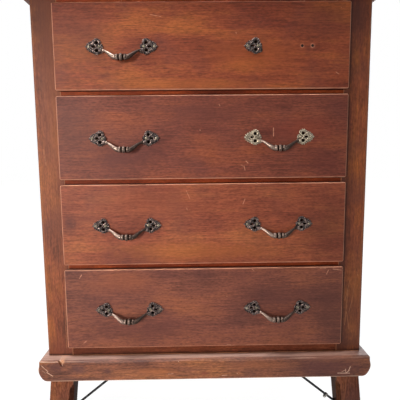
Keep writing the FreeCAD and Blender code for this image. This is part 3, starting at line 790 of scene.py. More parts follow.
@dataclass(frozen=True)
class Viewpoint:
    """Where the camera stands, and the way it is turned.

    Attributes:
        place: where it stands, in metres.
        ahead: the way it looks.
        right: the way of its picture's right side.
        lens: its focal length, in mm.
        sensor: width of its sensor, in mm.
    """

    place: tuple[float, float, float] = (-0.0208, -1.128225, 0.7134)
    ahead: tuple[float, float, float] = (0.01300, 0.99333, -0.11459)
    right: tuple[float, float, float] = (0.99984, -0.01425, -0.01005)
    lens: float = 36.0
    sensor: float = 36.0

    def set_up(self) -> None:
        """Create the camera and look through it."""
        data = bpy.data.cameras.new("camera")
        data.lens = self.lens
        data.sensor_width = self.sensor
        camera = bpy.data.objects.new("camera", data)
        bpy.context.scene.collection.objects.link(camera)
        back = -Vector(self.ahead).normalized()
        right = Vector(self.right).normalized()
        up = back.cross(right)
        turn = Matrix((right, up, back)).transposed().to_quaternion()
        camera.matrix_world = Matrix.LocRotScale(Vector(self.place), turn, None)
        bpy.context.scene.camera = camera


# Stained mahogany under worn shellac: red-brown, with orange where the stain is thin.
FRONT_WOOD = WoodFinish(
    "shellacked_mahogany",
    deep="#54281e",
    body="#7b3e28",
    glow="#934c27",
    bloom="#5e332e",
    bare="#c98f74",
    wear=2.8,
)
# The same stain on the carcass, browner and more worn.
CASE_WOOD = WoodFinish(
    "worn_mahogany",
    deep="#532c1e",
    body="#7c4129",
    glow="#965629",
    bloom="#57342d",
    bare="#a5704f",
    wear=1.7,
)
# The rails in the gaps: redder, and dull where no cloth rubs.
RAIL_WOOD = replace(CASE_WOOD, deep="#4a1b0d", body="#7c341a", glow="#964620", bloom="#4e2015", gloss=0.08)
# The bottom rail, browned by the dust on the plank.
FOOT_WOOD = replace(RAIL_WOOD, deep="#42201a", body="#6a3724", glow="#7c462e")
# The stand's thick plank, browner still, with strong grain and knocks down to pale bare wood.
STAND_WOOD = WoodFinish(
    "stand_mahogany",
    deep="#4e2d23",
    body="#7c4c38",
    glow="#98603b",
    bloom="#573939",
    bare="#dab39c",
    wear=3.2,
    contrast=0.55,
)
# The legs, with no shine left.
LEG_WOOD = replace(STAND_WOOD, gloss=0.01)
# Unfinished pine: yellowed, with soft grain.
BARE_PINE = WoodFinish(
    "aged_pine",
    deep="#96683c",
    body="#b98c58",
    glow="#caa270",
    bloom="#8d6a4a",
    bare="#d9bd92",
    roughness=0.7,
    wear=1.5,
    contrast=0.2,
)
# Cast brass with brown patina: nearly black in its hollows and paler where it is handled.
ANTIQUE_BRASS = MetalFinish(
    "antique_brass",
    recess="#0a0605",
    body="#302624",
    rub="#7c6a63",
    roughness=0.34,
    pit=1.6,
    rubbed=0.26,
    plate=PLATE_FACE,
    metal=(0.5, 0.8),
    mottled=2.3,
)
# The same brass, rubbed nearly clean.
RUBBED_BRASS = MetalFinish(
    "rubbed_brass",
    recess="#160f0b",
    body="#55473d",
    rub="#a89a84",
    roughness=0.34,
    pit=1.6,
    rubbed=0.5,
    plate=PLATE_FACE,
    metal=(0.4, 0.7),
)
# Bails of the same metal, smoother and a little pink from the hands.
BAIL_BRASS = MetalFinish(
    "bail_brass",
    recess="#0a0605",
    body="#40332d",
    rub="#9f897c",
    roughness=0.36,
    pit=2.4,
    rubbed=0.45,
    metal=(0.9, 0.9),
    mottled=0.4,
    # painted light on the left arms and painted shade on the right arms
    arm_light_and_shade=(0.14, -0.3),
)
# Dark matte plugs and sleeves, coloured as blackened wax, paint the shade in the piercings and between the
# beads, which makes the piercings read as holes.
BLACK_SHADE_FILL = ShadeFiller("shade_filler", dark="#0e0806", dusty="#24150f")
# Wrought iron under black oxide: charcoal, with grey on its rubbed edges.
BLACK_IRON = MetalFinish(
    "black_iron", recess="#262628", body="#4d4d50", rub="#85827d", roughness=0.5, pit=2.2
)
# Plain steel screws gone brown, with a dull gleam.
DULL_STEEL = MetalFinish(
    "dull_steel", recess="#191511", body="#4c4238", rub="#8d8371", roughness=0.42, pit=1.2
)


@cache
def shared(finish: MetalFinish | ShadeFiller) -> bpy.types.Material:
    """Make a finish once, for every piece that has it.

    Args:
        finish: the finish wanted.

    Returns:
        Its one material.
    """
    return finish.material()


@dataclass
class Stand:
    """The thick plank, its four splayed legs and the iron braces.

    Attributes:
        plank_scratches: scratches and dents on the plank's front.
        plank_patches: stains on the plank's front.
        top_shade_patches: painted shade at the right end of the plank's top, over its painted sheen.
        leg_shade: painted shadow under the plank, on every leg.
        right_leg_tint: a darker tint over the right legs.
    """

    plank_scratches: Sequence[Scratch] = (
        Scratch((8.5, 40.6), (23.0, 26.1), 2.0, 0.8),
        Scratch((20.5, 23.7), (34.1, 14.2), 2.4, 0.9),
        Scratch((9.0, 28.9), (16.9, 22.5), 1.8, 0.5),
        Scratch((744.2, 25.4), (739.6, 13.3), 2.2, 1.0),
        Scratch((735.0, 10.5), (741.6, 15.3), 2.4, 1.0),
        Scratch((733.0, 19.5), (733.3, 11.9), 2.0, 0.8),
        Scratch((724.5, 13.0), (732.3, 16.9), 2.2, 0.8),
        Scratch((714.5, 9.7), (743.0, 9.2), 2.4, 0.9),
        Scratch((50.5, 51.0), (58.7, 46.0), 2.6, 0.9),
        Scratch((58.7, 47.0), (57.2, 41.0), 2.2, 0.8),
        Scratch((308.4, 14.6), (320.2, 15.7), 1.8, 0.5),
        Scratch((332.7, 46.0), (333.5, 45.5), 2.6, 0.7),
        Scratch((472.5, 13.4), (473.5, 13.0), 2.4, 0.6),
        Scratch((436.7, 8.5), (448.6, 9.5), 1.8, 0.6),
    )
    plank_patches: Sequence[Patch] = (
        Patch((41.0, 34.6), (22.0, 15.0), "#4a2a2a", 0.75),
        Patch((94.0, 30.0), (26.0, 15.0), "#4f3335", 0.7),
        Patch((57.0, 50.0), (9.0, 9.0), "#d79b6e", 0.9),
        Patch((164.0, 24.0), (16.0, 11.0), "#43292c", 0.7),
        Patch((90.0, 6.0), (95.0, 6.0), "#3e2a2a", 0.55),
        Patch((125.0, 50.0), (70.0, 6.0), "#6c4b44", 0.5),
        Patch((280.0, 21.0), (70.0, 14.0), "#a5633a", 0.55),
        Patch((394.0, 15.0), (14.0, 8.0), "#7a392c", 0.55),
        Patch((520.0, 32.0), (130.0, 13.0), "#955a3c", 0.45),
        Patch((700.0, 26.0), (120.0, 34.0), "#552e2c", 0.7),
    )

    # painted shade at the right end of the plank's top
    top_shade_patches: Sequence[Patch] = (
        Patch((690.0, 52.0), (170.0, 14.0), "#84594a", 0.5),
        Patch((800.0, 52.0), (75.0, 14.0), "#50302c", 0.9),
    )
    # painted shadow under the plank
    leg_shade: Patch = Patch((30.0, 178.0), (90.0, 10.0), "#1c0d09", 0.9)
    # a darker tint over the right legs
    right_leg_tint: Patch = Patch((40.0, 90.0), (60.0, 110.0), "#573a38", 0.7)

    def dress(self) -> None:
        """Give every piece of the stand its finish."""
        Board(
            "base_plank",
            STAND_WOOD,
            GrainAxis.ACROSS,
            seed=1.3,
            scratches=self.plank_scratches,
            patches=self.plank_patches,
            # the plank's top gets a painted sheen
            top_sheen="#dcb5a5",
            top_shade_patches=self.top_shade_patches,
        ).dress()
        for i, corner in enumerate(("front_left", "front_right", "rear_left", "rear_right")):
            right = "right" in corner
            Board(
                corner + "_leg",
                LEG_WOOD,
                GrainAxis.UPRIGHT,
                seed=2.1 + i,
                patches=(self.leg_shade, self.right_leg_tint) if right else (self.leg_shade,),
                tone=1.08,
                # the inner side of each leg is painted dark: painted shade
                shaded_side=-1 if right else 1,
            ).dress()
        for node in ("front_braces", "rear_braces", "brace_screws"):
            for slot in bpy.data.objects[node].material_slots:
                slot.material = shared(BLACK_IRON)
        log.info("stand: plank, four legs and the braces")


# Painted shadow on a rail, over the lip of the drawer under it.
LIP_SHADOW = Patch((340.0, 4.6), (1500.0, 2.6), "#2a0a03", 0.85)


@dataclass
class Carcass:
    """Stiles, sides, rails, runners, back and top.

    Attributes:
        left: scratches on the left stile.
        right: scratches on the right stile.
        left_stains_and_shade: stains on the left stile, its darker top and the painted contact shadow at
            its foot.
        right_stains_and_shade: stains on the right stile, its darker top, the painted contact shadow at
            its foot and the painted shadow along its inner edge.
        levels: the rails and pairs of runners, from the bottom up.
        rail_stains_and_shade: a stain on the bottom rail, and painted shadow on the rails beside the
            drawers' lips and at the carcass's foot.
    """

    left: Sequence[Scratch] = (
        Scratch((49.2, 187.1), (44.2, 19.3), 2.0, 0.55),
        Scratch((14.7, 497.2), (18.6, 462.9), 5.0, 0.4),
        Scratch((4.5, 780.0), (4.5, 20.0), 3.5, 0.35),
    )
    right: Sequence[Scratch] = (
        Scratch((45.7, 199.1), (48.5, 189.2), 2.2, 0.7),
        Scratch((29.5, 179.6), (19.0, 129.8), 2.0, 0.5),
        Scratch((25.4, 154.7), (19.7, 66.6), 2.0, 0.55),
        Scratch((23.6, 99.5), (31.1, 56.2), 2.0, 0.6),
        Scratch((36.0, 129.6), (29.7, 99.4), 2.0, 0.45),
        Scratch((16.7, 199.5), (16.5, 129.9), 1.8, 0.4),
        Scratch((43.7, 186.8), (36.0, 129.6), 1.8, 0.4),
        Scratch((55.5, 780.0), (55.5, 20.0), 3.5, 0.3),
    )
    left_stains_and_shade: Sequence[Patch] = (
        # darker towards the top
        Patch((30.0, 800.0), (60.0, 190.0), "#4a1f14", 0.85),
        Patch((50.0, 620.0), (46.0, 520.0), "#713a1e", 0.6),
        Patch((30.0, 22.0), (70.0, 36.0), "#6a3626", 0.55),
        # painted contact shadow at the stile's foot
        Patch((30.0, 0.0), (140.0, 9.0), "#1a0a06", 1.0),
    )
    right_stains_and_shade: Sequence[Patch] = (
        Patch((30.0, 22.0), (70.0, 36.0), "#46201b", 0.6),
        # painted contact shadow at the stile's foot
        Patch((30.0, 0.0), (140.0, 10.0), "#1a0a06", 1.0),
        # darker towards the top
        Patch((30.0, 800.0), (60.0, 150.0), "#43201a", 0.6),
        # painted shadow that the drawer fronts cast along the stile's inner edge
        Patch((0.0, 415.0), (42.0, 2500.0), "#3a140b", 0.72),
        Patch((30.0, 90.0), (60.0, 150.0), "#4f2c22", 0.5),
    )
    levels: Sequence[str] = ("bottom", "lower", "middle", "upper", "top")
    rail_stains_and_shade: Sequence[Sequence[Patch]] = (
        (
            Patch((90.0, 14.0), (220.0, 22.0), "#4f2a20", 0.5),
            # painted contact shadow at the carcass's foot
            Patch((340.0, 0.0), (1200.0, 9.0), "#1a0a06", 0.85),
            # painted shadow under the lip of the bottom drawer
            Patch((340.0, 22.8), (700.0, 3.4), "#1c0b06", 0.8),
        ),
        (LIP_SHADOW,),
        (
            LIP_SHADOW,
            # painted shadow under the lip of the drawer above, at the right
            Patch((640.0, 14.4), (150.0, 2.6), "#2a0a03", 0.7),
        ),
        (
            LIP_SHADOW,
            # painted shadow under the lip of the drawer above
            Patch((340.0, 14.4), (1500.0, 2.2), "#2a0a03", 0.7),
            Patch((640.0, 14.4), (120.0, 3.0), "#120401", 0.9),
        ),
        (LIP_SHADOW,),
    )

    def dress(self) -> None:
        """Give every piece of the carcass its finish."""
        across, deep, upright = GrainAxis.ACROSS, GrainAxis.DEEP, GrainAxis.UPRIGHT
        Board("left_stile", CASE_WOOD, upright, 5.2, self.left, self.left_stains_and_shade).dress()
        Board("right_stile", CASE_WOOD, upright, 6.7, self.right, self.right_stains_and_shade).dress()
        for i, (level, rail_stains_and_shade) in enumerate(zip(self.levels, self.rail_stains_and_shade)):
            wood = RAIL_WOOD if i else FOOT_WOOD
            Board(level + "_rail", wood, across, seed=8.0 + i, patches=rail_stains_and_shade).dress()
            Board(level + "_runners", BARE_PINE, deep, seed=9.0 + i).dress()
        Board("left_side_panel", CASE_WOOD, upright, seed=15.0).dress()
        Board("right_side_panel", CASE_WOOD, upright, seed=16.0).dress()
        Board("back_boards", BARE_PINE, upright, seed=17.0).dress()
        # the top board's upper face gets a painted sheen
        Board("top_board", CASE_WOOD, across, seed=18.0, top_sheen="#a37257").dress()
        log.info("carcass: frame, sides, back and top")


@dataclass
class Rosette:
    """A cast leaf rosette: two pierced lobes with scrolls, a serrated leaf, petals and the eye.

    Sizes are in mm, from the rosette's middle on the drawer's face.

    Attributes:
        x: its middle, across.
        front: the drawer's face.
        z: its middle, up.
        side: 1 or -1 where the leaf points right or left, away from the bail.
        whole: whether its eye is unbroken.
        lobe_x: middle of each lobe, counted towards the leaf.
        lobe_z: middle of the upper lobe, counted up.
        rim: radius of the ring of buds round a lobe.
        plate: thickness of its plate.
        sunk: how deep the ornament is sunk in the plate.
        plug_thick: thickness of the dark plug, painted shade, in a piercing.
        plug_out: how far the middle of that plug stands off the drawer.
    """

    x: float
    front: float
    z: float
    side: int
    whole: bool = True
    lobe_x: float = -6.4
    lobe_z: float = 8.2
    rim: float = 8.3
    plate: float = PLATE_THICK
    sunk: float = 0.3
    plug_thick: float = 0.4
    plug_out: float = 0.25

    def point(self, x: float, z: float, out: float) -> Vector:
        """Turn the rosette's own measures into a place in the frame.

        Args:
            x: how far towards the leaf, in mm.
            z: how far up, in mm.
            out: how far off the drawer's face, in mm.

        Returns:
            The place, in metres.
        """
        return Vector((self.x + self.side * x, self.front - out, self.z + z)) * MM

    def bud(
        self,
        bm: bmesh.types.BMesh,
        x: float,
        z: float,
        size: tuple[float, float, float],
        turn: float = 0.0,
    ) -> None:
        """Add one flattened bud, vein or leaflet.

        Args:
            bm: the rosette's mesh.
            x: its middle, outwards.
            z: its middle, upwards.
            size: half its length, half its width and how far it stands off the plate.
            turn: the way its length points, in degrees up from outwards.
        """
        half_length, half_width, proud = size
        angle = math.radians(turn) * -self.side
        placing = (
            Matrix.Translation(self.point(x, z, self.plate - self.sunk))
            @ Matrix.Rotation(angle, 4, "Y")
            @ Matrix.Diagonal((half_length * MM, (proud + self.sunk) * MM, half_width * MM, 1.0))
        )
        bmesh.ops.create_uvsphere(bm, u_segments=20, v_segments=12, radius=1.0, matrix=placing)

    def scroll(
        self,
        bm: bmesh.types.BMesh,
        x: float,
        z: float,
        ring: tuple[float, float],
        start: float,
        sweep: float,
    ) -> None:
        """Add a raised scroll that curls round a piercing.

        Args:
            bm: the rosette's mesh.
            x: the curl's middle, outwards.
            z: the curl's middle, upwards.
            ring: radius of the curl and half its thickness.
            start: where it starts, in degrees up from outwards.
            sweep: how far it goes round, in degrees; 360 closes it.
        """
        radius, thick = ring
        placing = Matrix.Translation(self.point(x + radius, z, self.plate))
        made = bmesh.ops.create_circle(bm, segments=14, radius=thick * MM, matrix=placing)
        middle = self.point(x, z, self.plate)
        turn = Matrix.Rotation(math.radians(start) * -self.side, 3, "Y")
        bmesh.ops.rotate(bm, verts=made["verts"], cent=middle, matrix=turn)
        edges = {edge for vert in made["verts"] for edge in vert.link_edges}
        full = abs(sweep) >= 360
        done = bmesh.ops.spin(
            bm,
            geom=list(made["verts"]) + list(edges),
            cent=middle,
            axis=(0, -self.side, 0),
            angle=math.radians(sweep),
            steps=max(8, int(abs(sweep) / 9)),
            use_merge=full,
        )
        if not full:
            last = {edge for edge in done["geom_last"] if isinstance(edge, bmesh.types.BMEdge)}
            bmesh.ops.holes_fill(bm, edges=list(edges | last))

    def model(self, bm: bmesh.types.BMesh) -> None:
        """Add the ornament of this rosette over its plate.

        Args:
            bm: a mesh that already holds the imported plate.
        """
        for way in (1, -1):
            lobe = way * self.lobe_z
            for turn in (36.5, 69.5, 102.5, 135.5, 168.5):
                angle = math.radians(turn)
                across = self.lobe_x + self.rim * math.cos(angle)
                rise = lobe + way * self.rim * math.sin(angle)
                self.bud(bm, across, rise, (1.9, 1.9, 1.3), way * turn)
            self.bud(bm, 1.6, way * 8.2, (3.4, 2.0, 1.6), way * 62)
            self.veins(bm, way)
        self.scroll(bm, 1.8, 0, (4.1, 1.1), -100, 200)
        # in the curl, along the leaf's spine, and the petals round the eye
        singles = (
            (-5.2, 0.2, (2.4, 2.0, 2.2), 30.0),
            (6.9, 0.0, (2.0, 1.2, 1.5), 0.0),
            (17.0, 0.0, (3.0, 1.2, 1.3), 0.0),
            (-16.2, 3.2, (3.4, 2.3, 1.1), 130.0),
            (-18.4, -0.8, (2.6, 2.2, 1.0), 175.0),
            (-11.8, -5.6, (2.2, 1.5, 1.4), 60.0),
        )
        for x, z, size, turn in singles:
            self.bud(bm, x, z, size, turn)
        if self.whole:
            self.bud(bm, -14.8, -9.2, (4.6, 3.8, 1.6), 90)

    def veins(self, bm: bmesh.types.BMesh, way: int, count: int = 5) -> None:
        """Add the veins of one half of the leaf, shorter and flatter towards its tip.

        Args:
            bm: the rosette's mesh.
            way: 1 for the upper half and -1 for the lower.
            count: how many veins there are.
        """
        for i in range(count):
            share = i / (count - 1)
            root = 3.2 + 12.6 * share
            length = 4.7 - 2.4 * share
            rise = 4.0 + 2.6 * math.sin(math.pi * (0.25 + 0.6 * share)) - 4.4 * share
            turn = 62 - 24 * share
            self.bud(bm, root, way * rise, (length, 1.35, 1.2), way * turn)

    def shade_plugs(self, bm: bmesh.types.BMesh) -> None:
        """Add thin dark plugs at the bottoms of the piercings, which paint the shade in them.

        Args:
            bm: the mesh that gets them.
        """
        plugs = (
            (self.lobe_x, self.lobe_z, 3.3),
            (self.lobe_x, -self.lobe_z, 3.3),
            (1.8, 0.0, 2.8),
            (-1.6, 0.0, 1.3),
        )
        for x, z, radius in plugs:
            middle = Matrix.Translation(self.point(x, z, self.plug_out))
            placing = middle @ Matrix.Rotation(math.pi / 2, 4, "X")
            add_rod(bm, placing, radius * MM, self.plug_thick * MM, 32)


@dataclass
class Foundry:
    """Casts each pattern once, and moves copies of it to every place that has one.

    Attributes:
        patterns: skin of each pattern, with the low corner of the node that it was made on.
        softness: how much each smoothing of a skin rounds it, from 0 to 1.
        rounds: how many times a skin is smoothed.
    """

    patterns: dict[str, tuple[bpy.types.Mesh, Vector]] = field(default_factory=dict)
    softness: float = 0.5
    rounds: int = 3

    def skin(self, node: str, shapes: Sequence[Rosette], grain: float) -> bpy.types.Mesh:
        """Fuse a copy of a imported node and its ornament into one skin.

        Args:
            node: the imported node.
            shapes: what to model on it.
            grain: size of the skin's faces, in mm.

        Returns:
            The finished skin, in the node's own place.
        """
        bm = bmesh.new()
        bm.from_mesh(bpy.data.objects[node].data)
        bmesh.ops.remove_doubles(bm, verts=bm.verts, dist=0.002 * MM)
        for shape in shapes:
            shape.model(bm)
        bmesh.ops.recalc_face_normals(bm, faces=bm.faces)
        rough = mesh_object("rough", bm)
        cover = rough.modifiers.new("cover", "REMESH")
        cover.mode = "VOXEL"
        cover.voxel_size = grain * MM
        soft = rough.modifiers.new("soft", "SMOOTH")
        soft.factor = self.softness
        soft.iterations = self.rounds
        graph = bpy.context.evaluated_depsgraph_get()
        mesh = bpy.data.meshes.new_from_object(rough.evaluated_get(graph))
        bpy.data.objects.remove(rough)
        mesh.materials.clear()
        mesh.shade_smooth()
        return mesh

    def cast(
        self, pattern: str, node: str, shapes: Sequence[Rosette], grain: float, finish: MetalFinish
    ) -> bpy.types.Object:
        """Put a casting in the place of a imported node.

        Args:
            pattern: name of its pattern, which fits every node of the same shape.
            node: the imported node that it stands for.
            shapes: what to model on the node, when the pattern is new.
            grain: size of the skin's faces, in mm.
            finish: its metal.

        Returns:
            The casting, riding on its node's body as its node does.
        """
        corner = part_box(node)[0]
        if pattern not in self.patterns:
            self.patterns[pattern] = (self.skin(node, shapes, grain), corner)
        mesh, start = self.patterns[pattern]
        if corner != start:
            mesh = mesh.copy()
            mesh.transform(Matrix.Translation(corner - start))
            mesh.materials.clear()
        mesh.materials.append(shared(finish))
        piece = bpy.data.objects.new(f"{node}_cast", mesh)
        bpy.context.scene.collection.objects.link(piece)
        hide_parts(node)
        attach(piece, bpy.data.objects[node]["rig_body"])
        return piece


@dataclass
class SlottedScrews:
    """Round-headed slotted screws that hold the rosettes.

    Attributes:
        heads: middle of each head on its plate, in mm.
        radius: of a head, in mm.
        rise: of a head's dome, in mm.
        slot: width of its slot, in mm.
        shank: radius of the shank, in mm.
        length: of the shank, in mm.
        rim: thickness of the disc under the slot, in mm.
    """

    heads: Sequence[Vector]
    radius: float = 3.2
    rise: float = 1.5
    slot: float = 0.8
    shank: float = 1.45
    length: float = 15.0
    rim: float = 0.6

    def model(self) -> bmesh.types.BMesh:
        """Build every screw of one drawer.

        Returns:
            The screws, in metres.
        """
        bm = bmesh.new()
        for i, head in enumerate(self.heads):
            turn = Matrix.Rotation(0.7 + 1.9 * i, 4, "Y")
            for way in (1, -1):
                half = bmesh.new()
                bmesh.ops.create_uvsphere(half, u_segments=28, v_segments=16, radius=self.radius)
                bmesh.ops.scale(half, vec=(1.0, self.rise / self.radius, 1.0), verts=half.verts)
                beside = ((0, 0, way * self.slot / 2), (0, 0, -way))
                for cut, facing in (((0, 0.05, 0), (0, 1, 0)), beside):
                    geom = half.verts[:] + half.edges[:] + half.faces[:]
                    plane = {"plane_co": cut, "plane_no": facing}
                    bmesh.ops.bisect_plane(half, geom=geom, clear_outer=True, **plane)
                    bmesh.ops.holes_fill(half, edges=half.edges)
                self.place(half, turn, head, bm)
            rods = (
                (self.radius * 0.93, self.rim, 0.25),
                (self.shank, self.length, self.length / 2),
            )
            for radius, depth, back in rods:
                rod = bmesh.new()
                add_rod(rod, Matrix(), radius, depth, 24)
                bmesh.ops.rotate(rod, verts=rod.verts, matrix=Matrix.Rotation(math.pi / 2, 3, "X"))
                bmesh.ops.translate(rod, verts=rod.verts, vec=(0, back, 0))
                self.place(rod, turn, head, bm)
        bmesh.ops.recalc_face_normals(bm, faces=bm.faces)
        return bm

    @staticmethod
    def place(part: bmesh.types.BMesh, turn: Matrix, head: Vector, whole: bmesh.types.BMesh) -> None:
        """Move one closed part of a screw to its head's place and add it to the whole.

        Args:
            part: the part, which is freed.
            turn: the way that its slot points.
            head: where its head sits, in mm.
            whole: the mesh that gets it.
        """
        placing = Matrix.Scale(MM, 4) @ Matrix.Translation(head) @ turn
        bmesh.ops.transform(part, matrix=placing, verts=part.verts)
        spare = bpy.data.meshes.new("spare")
        part.to_mesh(spare)
        part.free()
        whole.from_mesh(spare)
        bpy.data.meshes.remove(spare)


@dataclass
class Drawer:
    """One drawer: its box, its front with every mark, and its pulls.

    Attributes:
        number: counted from the top, from 1.
        wood: finish of its front.
        scratches: scratches and dents on its front.
        patches: stains on its front.
        bare_holes: holes of a missing rosette, whose bail is gone too, at its right pull.
        rubbed_pull: whether its right pull is rubbed nearly clean.
        pull_drop: how far the pulls sit below the front's middle, in mm.
        rosette_apart: from a pull's middle to each of its rosettes, in mm.
        screw_apart: from a rosette's middle to each of its screws, in mm.
        grip_drop: how far the bail's beads hang below the pull, in mm.
        grip_out: how far they hang in front of the drawer's face, in mm.
        bead_apart: from the middle of one bead to the next, in mm.
        sleeve_radius: of the dark sleeves between the beads, which paint the shade there, in mm.
        sleeve_length: of those sleeves, in mm.
        plate_skin: size of the faces of a rosette's skin, in mm.
        bail_skin: size of the faces of a bail's skin, in mm.
    """

    number: int
    wood: WoodFinish
    scratches: Sequence[Scratch]
    patches: Sequence[Patch]
    bare_holes: Sequence[tuple[float, float]] = ()
    rubbed_pull: bool = False
    pull_drop: float = 1.2
    rosette_apart: float = 61.0
    screw_apart: float = 11.6
    grip_drop: float = 25.1
    grip_out: float = 14.2
    bead_apart: float = 9.3
    sleeve_radius: float = 6.3
    sleeve_length: float = 3.8
    plate_skin: float = 0.42
    bail_skin: float = 0.36

    def bead_shade_sleeves(self, grip: Vector) -> bmesh.types.BMesh:
        """Model dark sleeves between the three beads of a bail: painted shade in the gaps.

        Args:
            grip: middle of the middle bead, in mm.

        Returns:
            Two short sleeves, in metres.
        """
        bm = bmesh.new()
        for way in (-1, 1):
            middle = grip + Vector((way * self.bead_apart / 2, 0, 0))
            placing = Matrix.Translation(middle * MM) @ Matrix.Rotation(math.pi / 2, 4, "Y")
            add_rod(bm, placing, self.sleeve_radius * MM, self.sleeve_length * MM, 40)
        return bm

    def build(self, foundry: Foundry) -> None:
        """Dress the drawer's wood and model its pulls.

        Args:
            foundry: casts the rosettes and bails.
        """
        name = f"drawer_{self.number}_"
        Board(
            name + "front",
            self.wood,
            GrainAxis.ACROSS,
            seed=20.0 + 3.1 * self.number,
            scratches=self.scratches,
            patches=self.patches,
            holes=self.bare_holes,
        ).dress()
        Board(name + "sides", BARE_PINE, GrainAxis.DEEP, seed=40.0 + self.number).dress()
        Board(name + "back", BARE_PINE, GrainAxis.ACROSS, seed=50.0 + self.number).dress()
        Board(name + "bottom", BARE_PINE, GrainAxis.ACROSS, seed=60.0 + self.number).dress()
        low, high = (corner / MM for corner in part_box(name + "front"))
        middle = (low.z + high.z) / 2 - self.pull_drop
        heads = []
        shade_plugs = bmesh.new()
        for hand, centre in zip(("left", "right"), PULL_MIDDLES):
            broken = bool(self.bare_holes) and hand == "right"
            sides = (-1,) if broken else (-1, 1)
            shapes = []
            for way in sides:
                across = centre + way * self.rosette_apart
                shapes.append(Rosette(across, low.y, middle, way, not broken))
            for shape in shapes:
                shape.shade_plugs(shade_plugs)
                for end in (-1, 1):
                    across = shape.x + end * self.screw_apart
                    heads.append(Vector((across, low.y - PLATE_THICK, middle)))
            pattern = "single_rosette" if broken else "rosette_pair"
            finish = RUBBED_BRASS if self.rubbed_pull and hand == "right" else ANTIQUE_BRASS
            foundry.cast(pattern, f"{name}{hand}_rosettes", shapes, self.plate_skin, finish)
            if not broken:
                node = f"{name}{hand}_bail"
                foundry.cast("bail", node, (), self.bail_skin, BAIL_BRASS)
                grip = Vector((centre, low.y - self.grip_out, middle - self.grip_drop))
                # dark sleeves between the beads: painted shade
                fill = mesh_object(node + "_old_polish", self.bead_shade_sleeves(grip))
                fill.data.materials.append(shared(BLACK_SHADE_FILL))
                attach(fill, bpy.data.objects[node]["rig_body"])
        # dark plugs in the piercings: painted shade
        shade_plug_object = mesh_object(name + "old_polish", shade_plugs)
        shade_plug_object.data.shade_flat()
        shade_plug_object.data.materials.append(shared(BLACK_SHADE_FILL))
        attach(shade_plug_object, f"drawer_{self.number}")
        screws = mesh_object(name + "slotted_screws", SlottedScrews(heads).model())
        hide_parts(name + "screws")
        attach(screws, f"drawer_{self.number}")
        screws.data.materials.append(shared(DULL_STEEL))
        log.info("drawer %d: %d screws", self.number, len(heads))


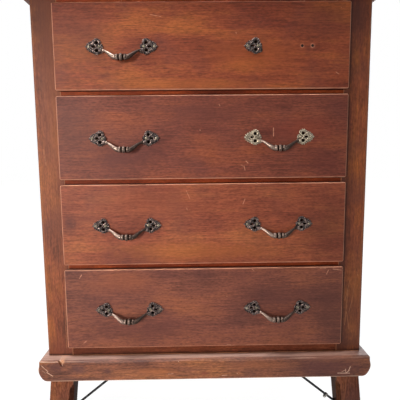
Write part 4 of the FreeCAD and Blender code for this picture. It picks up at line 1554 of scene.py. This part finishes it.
DRAWERS = (
    Drawer(
        number=1,
        wood=replace(FRONT_WOOD, deep="#662d1d", body="#7f3e26", glow="#96522a"),
        scratches=(
            Scratch((215.9, 161.3), (239.9, 156.9), 2.0, 0.6),
            Scratch((629.4, 35.8), (636.3, 31.4), 2.0, 0.7),
            Scratch((404.8, 122.2), (405.5, 121.0), 3.0, 0.6),
            Scratch(BARE_HOLES[0], BARE_HOLES[0], 12.0, 0.6),
            Scratch(BARE_HOLES[1], BARE_HOLES[1], 13.0, 0.7),
        ),
        patches=(
            Patch((440.0, 75.0), (150.0, 50.0), "#924a24", 0.5),
            Patch((300.0, 12.0), (230.0, 16.0), "#955227", 0.5),
            Patch((600.0, 150.0), (110.0, 60.0), "#54271e", 0.5),
            Patch((60.0, 110.0), (90.0, 80.0), "#673627", 0.5),
        ),
        bare_holes=BARE_HOLES,
    ),
    Drawer(
        number=2,
        wood=replace(FRONT_WOOD, deep="#55271e", body="#703a2b", glow="#81432b"),
        scratches=(
            Scratch((490.2, 113.6), (490.4, 95.6), 2.6, 0.8),
            Scratch((427.8, 39.6), (432.4, 35.0), 2.4, 0.7),
            Scratch((423.2, 28.2), (425.6, 19.0), 2.4, 0.6),
            Scratch((416.3, 30.6), (420.9, 28.2), 2.2, 0.5),
            Scratch((323.0, 110.7), (323.5, 110.0), 3.0, 0.5),
            Scratch((366.5, 168.1), (368.7, 163.7), 2.0, 0.5),
        ),
        patches=(
            Patch((160.0, 50.0), (150.0, 40.0), "#522824", 0.6),
            Patch((330.0, 150.0), (200.0, 34.0), "#5b2f27", 0.5),
            Patch((560.0, 110.0), (110.0, 40.0), "#793424", 0.5),
            Patch((600.0, 40.0), (70.0, 40.0), "#52231e", 0.5),
            Patch((40.0, 110.0), (70.0, 100.0), "#573028", 0.5),
        ),
        rubbed_pull=True,
    ),
    Drawer(
        number=3,
        wood=replace(FRONT_WOOD, deep="#6d3425", body="#84452f", glow="#975735"),
        scratches=(
            Scratch((425.8, 152.3), (421.1, 140.7), 2.2, 0.65),
            Scratch((289.4, 174.8), (298.3, 153.8), 2.4, 0.35),
            Scratch((290.6, 132.9), (291.5, 128.2), 2.0, 0.5),
        ),
        patches=(
            Patch((18.0, 98.0), (22.0, 30.0), "#442625", 0.6),
            Patch((300.0, 28.0), (260.0, 34.0), "#935324", 0.5),
            Patch((200.0, 150.0), (200.0, 50.0), "#8b492d", 0.35),
            Patch((620.0, 80.0), (80.0, 120.0), "#52261b", 0.6),
        ),
    ),
    Drawer(
        number=4,
        wood=replace(FRONT_WOOD, deep="#573129", body="#744233", glow="#844c34"),
        scratches=(
            Scratch((40.5, 181.5), (35.4, 173.1), 2.6, 0.8),
            Scratch((227.8, 192.6), (241.9, 192.4), 2.6, 0.9),
            Scratch((39.1, 13.4), (45.3, 18.3), 3.2, 0.5),
            Scratch((624.8, 185.3), (620.3, 175.6), 2.4, 0.7),
            Scratch((604.4, 189.2), (618.7, 189.0), 2.2, 0.6),
            Scratch((635.4, 187.6), (655.0, 184.8), 2.4, 0.8),
            Scratch((442.8, 191.3), (447.6, 185.4), 2.2, 0.6),
            Scratch((383.2, 3.7), (392.9, 2.2), 2.2, 0.7),
        ),
        patches=(
            Patch((160.0, 40.0), (180.0, 40.0), "#552c26", 0.55),
            Patch((130.0, 160.0), (120.0, 40.0), "#85472f", 0.4),
            Patch((520.0, 120.0), (160.0, 60.0), "#522c27", 0.5),
            Patch((630.0, 90.0), (70.0, 120.0), "#46251f", 0.5),
        ),
    ),
)


def main() -> None:
    """Dress the chest, build its pulls and set up the studio."""
    logging.basicConfig(level=logging.INFO, format="%(name)s: %(message)s")
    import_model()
    bpy.context.scene.view_settings.view_transform = "Standard"
    Viewpoint().set_up()
    Studio().build()
    Stand().dress()
    Carcass().dress()
    foundry = Foundry()
    for drawer in DRAWERS:
        drawer.build(foundry)


if __name__ == "__main__":
    main()
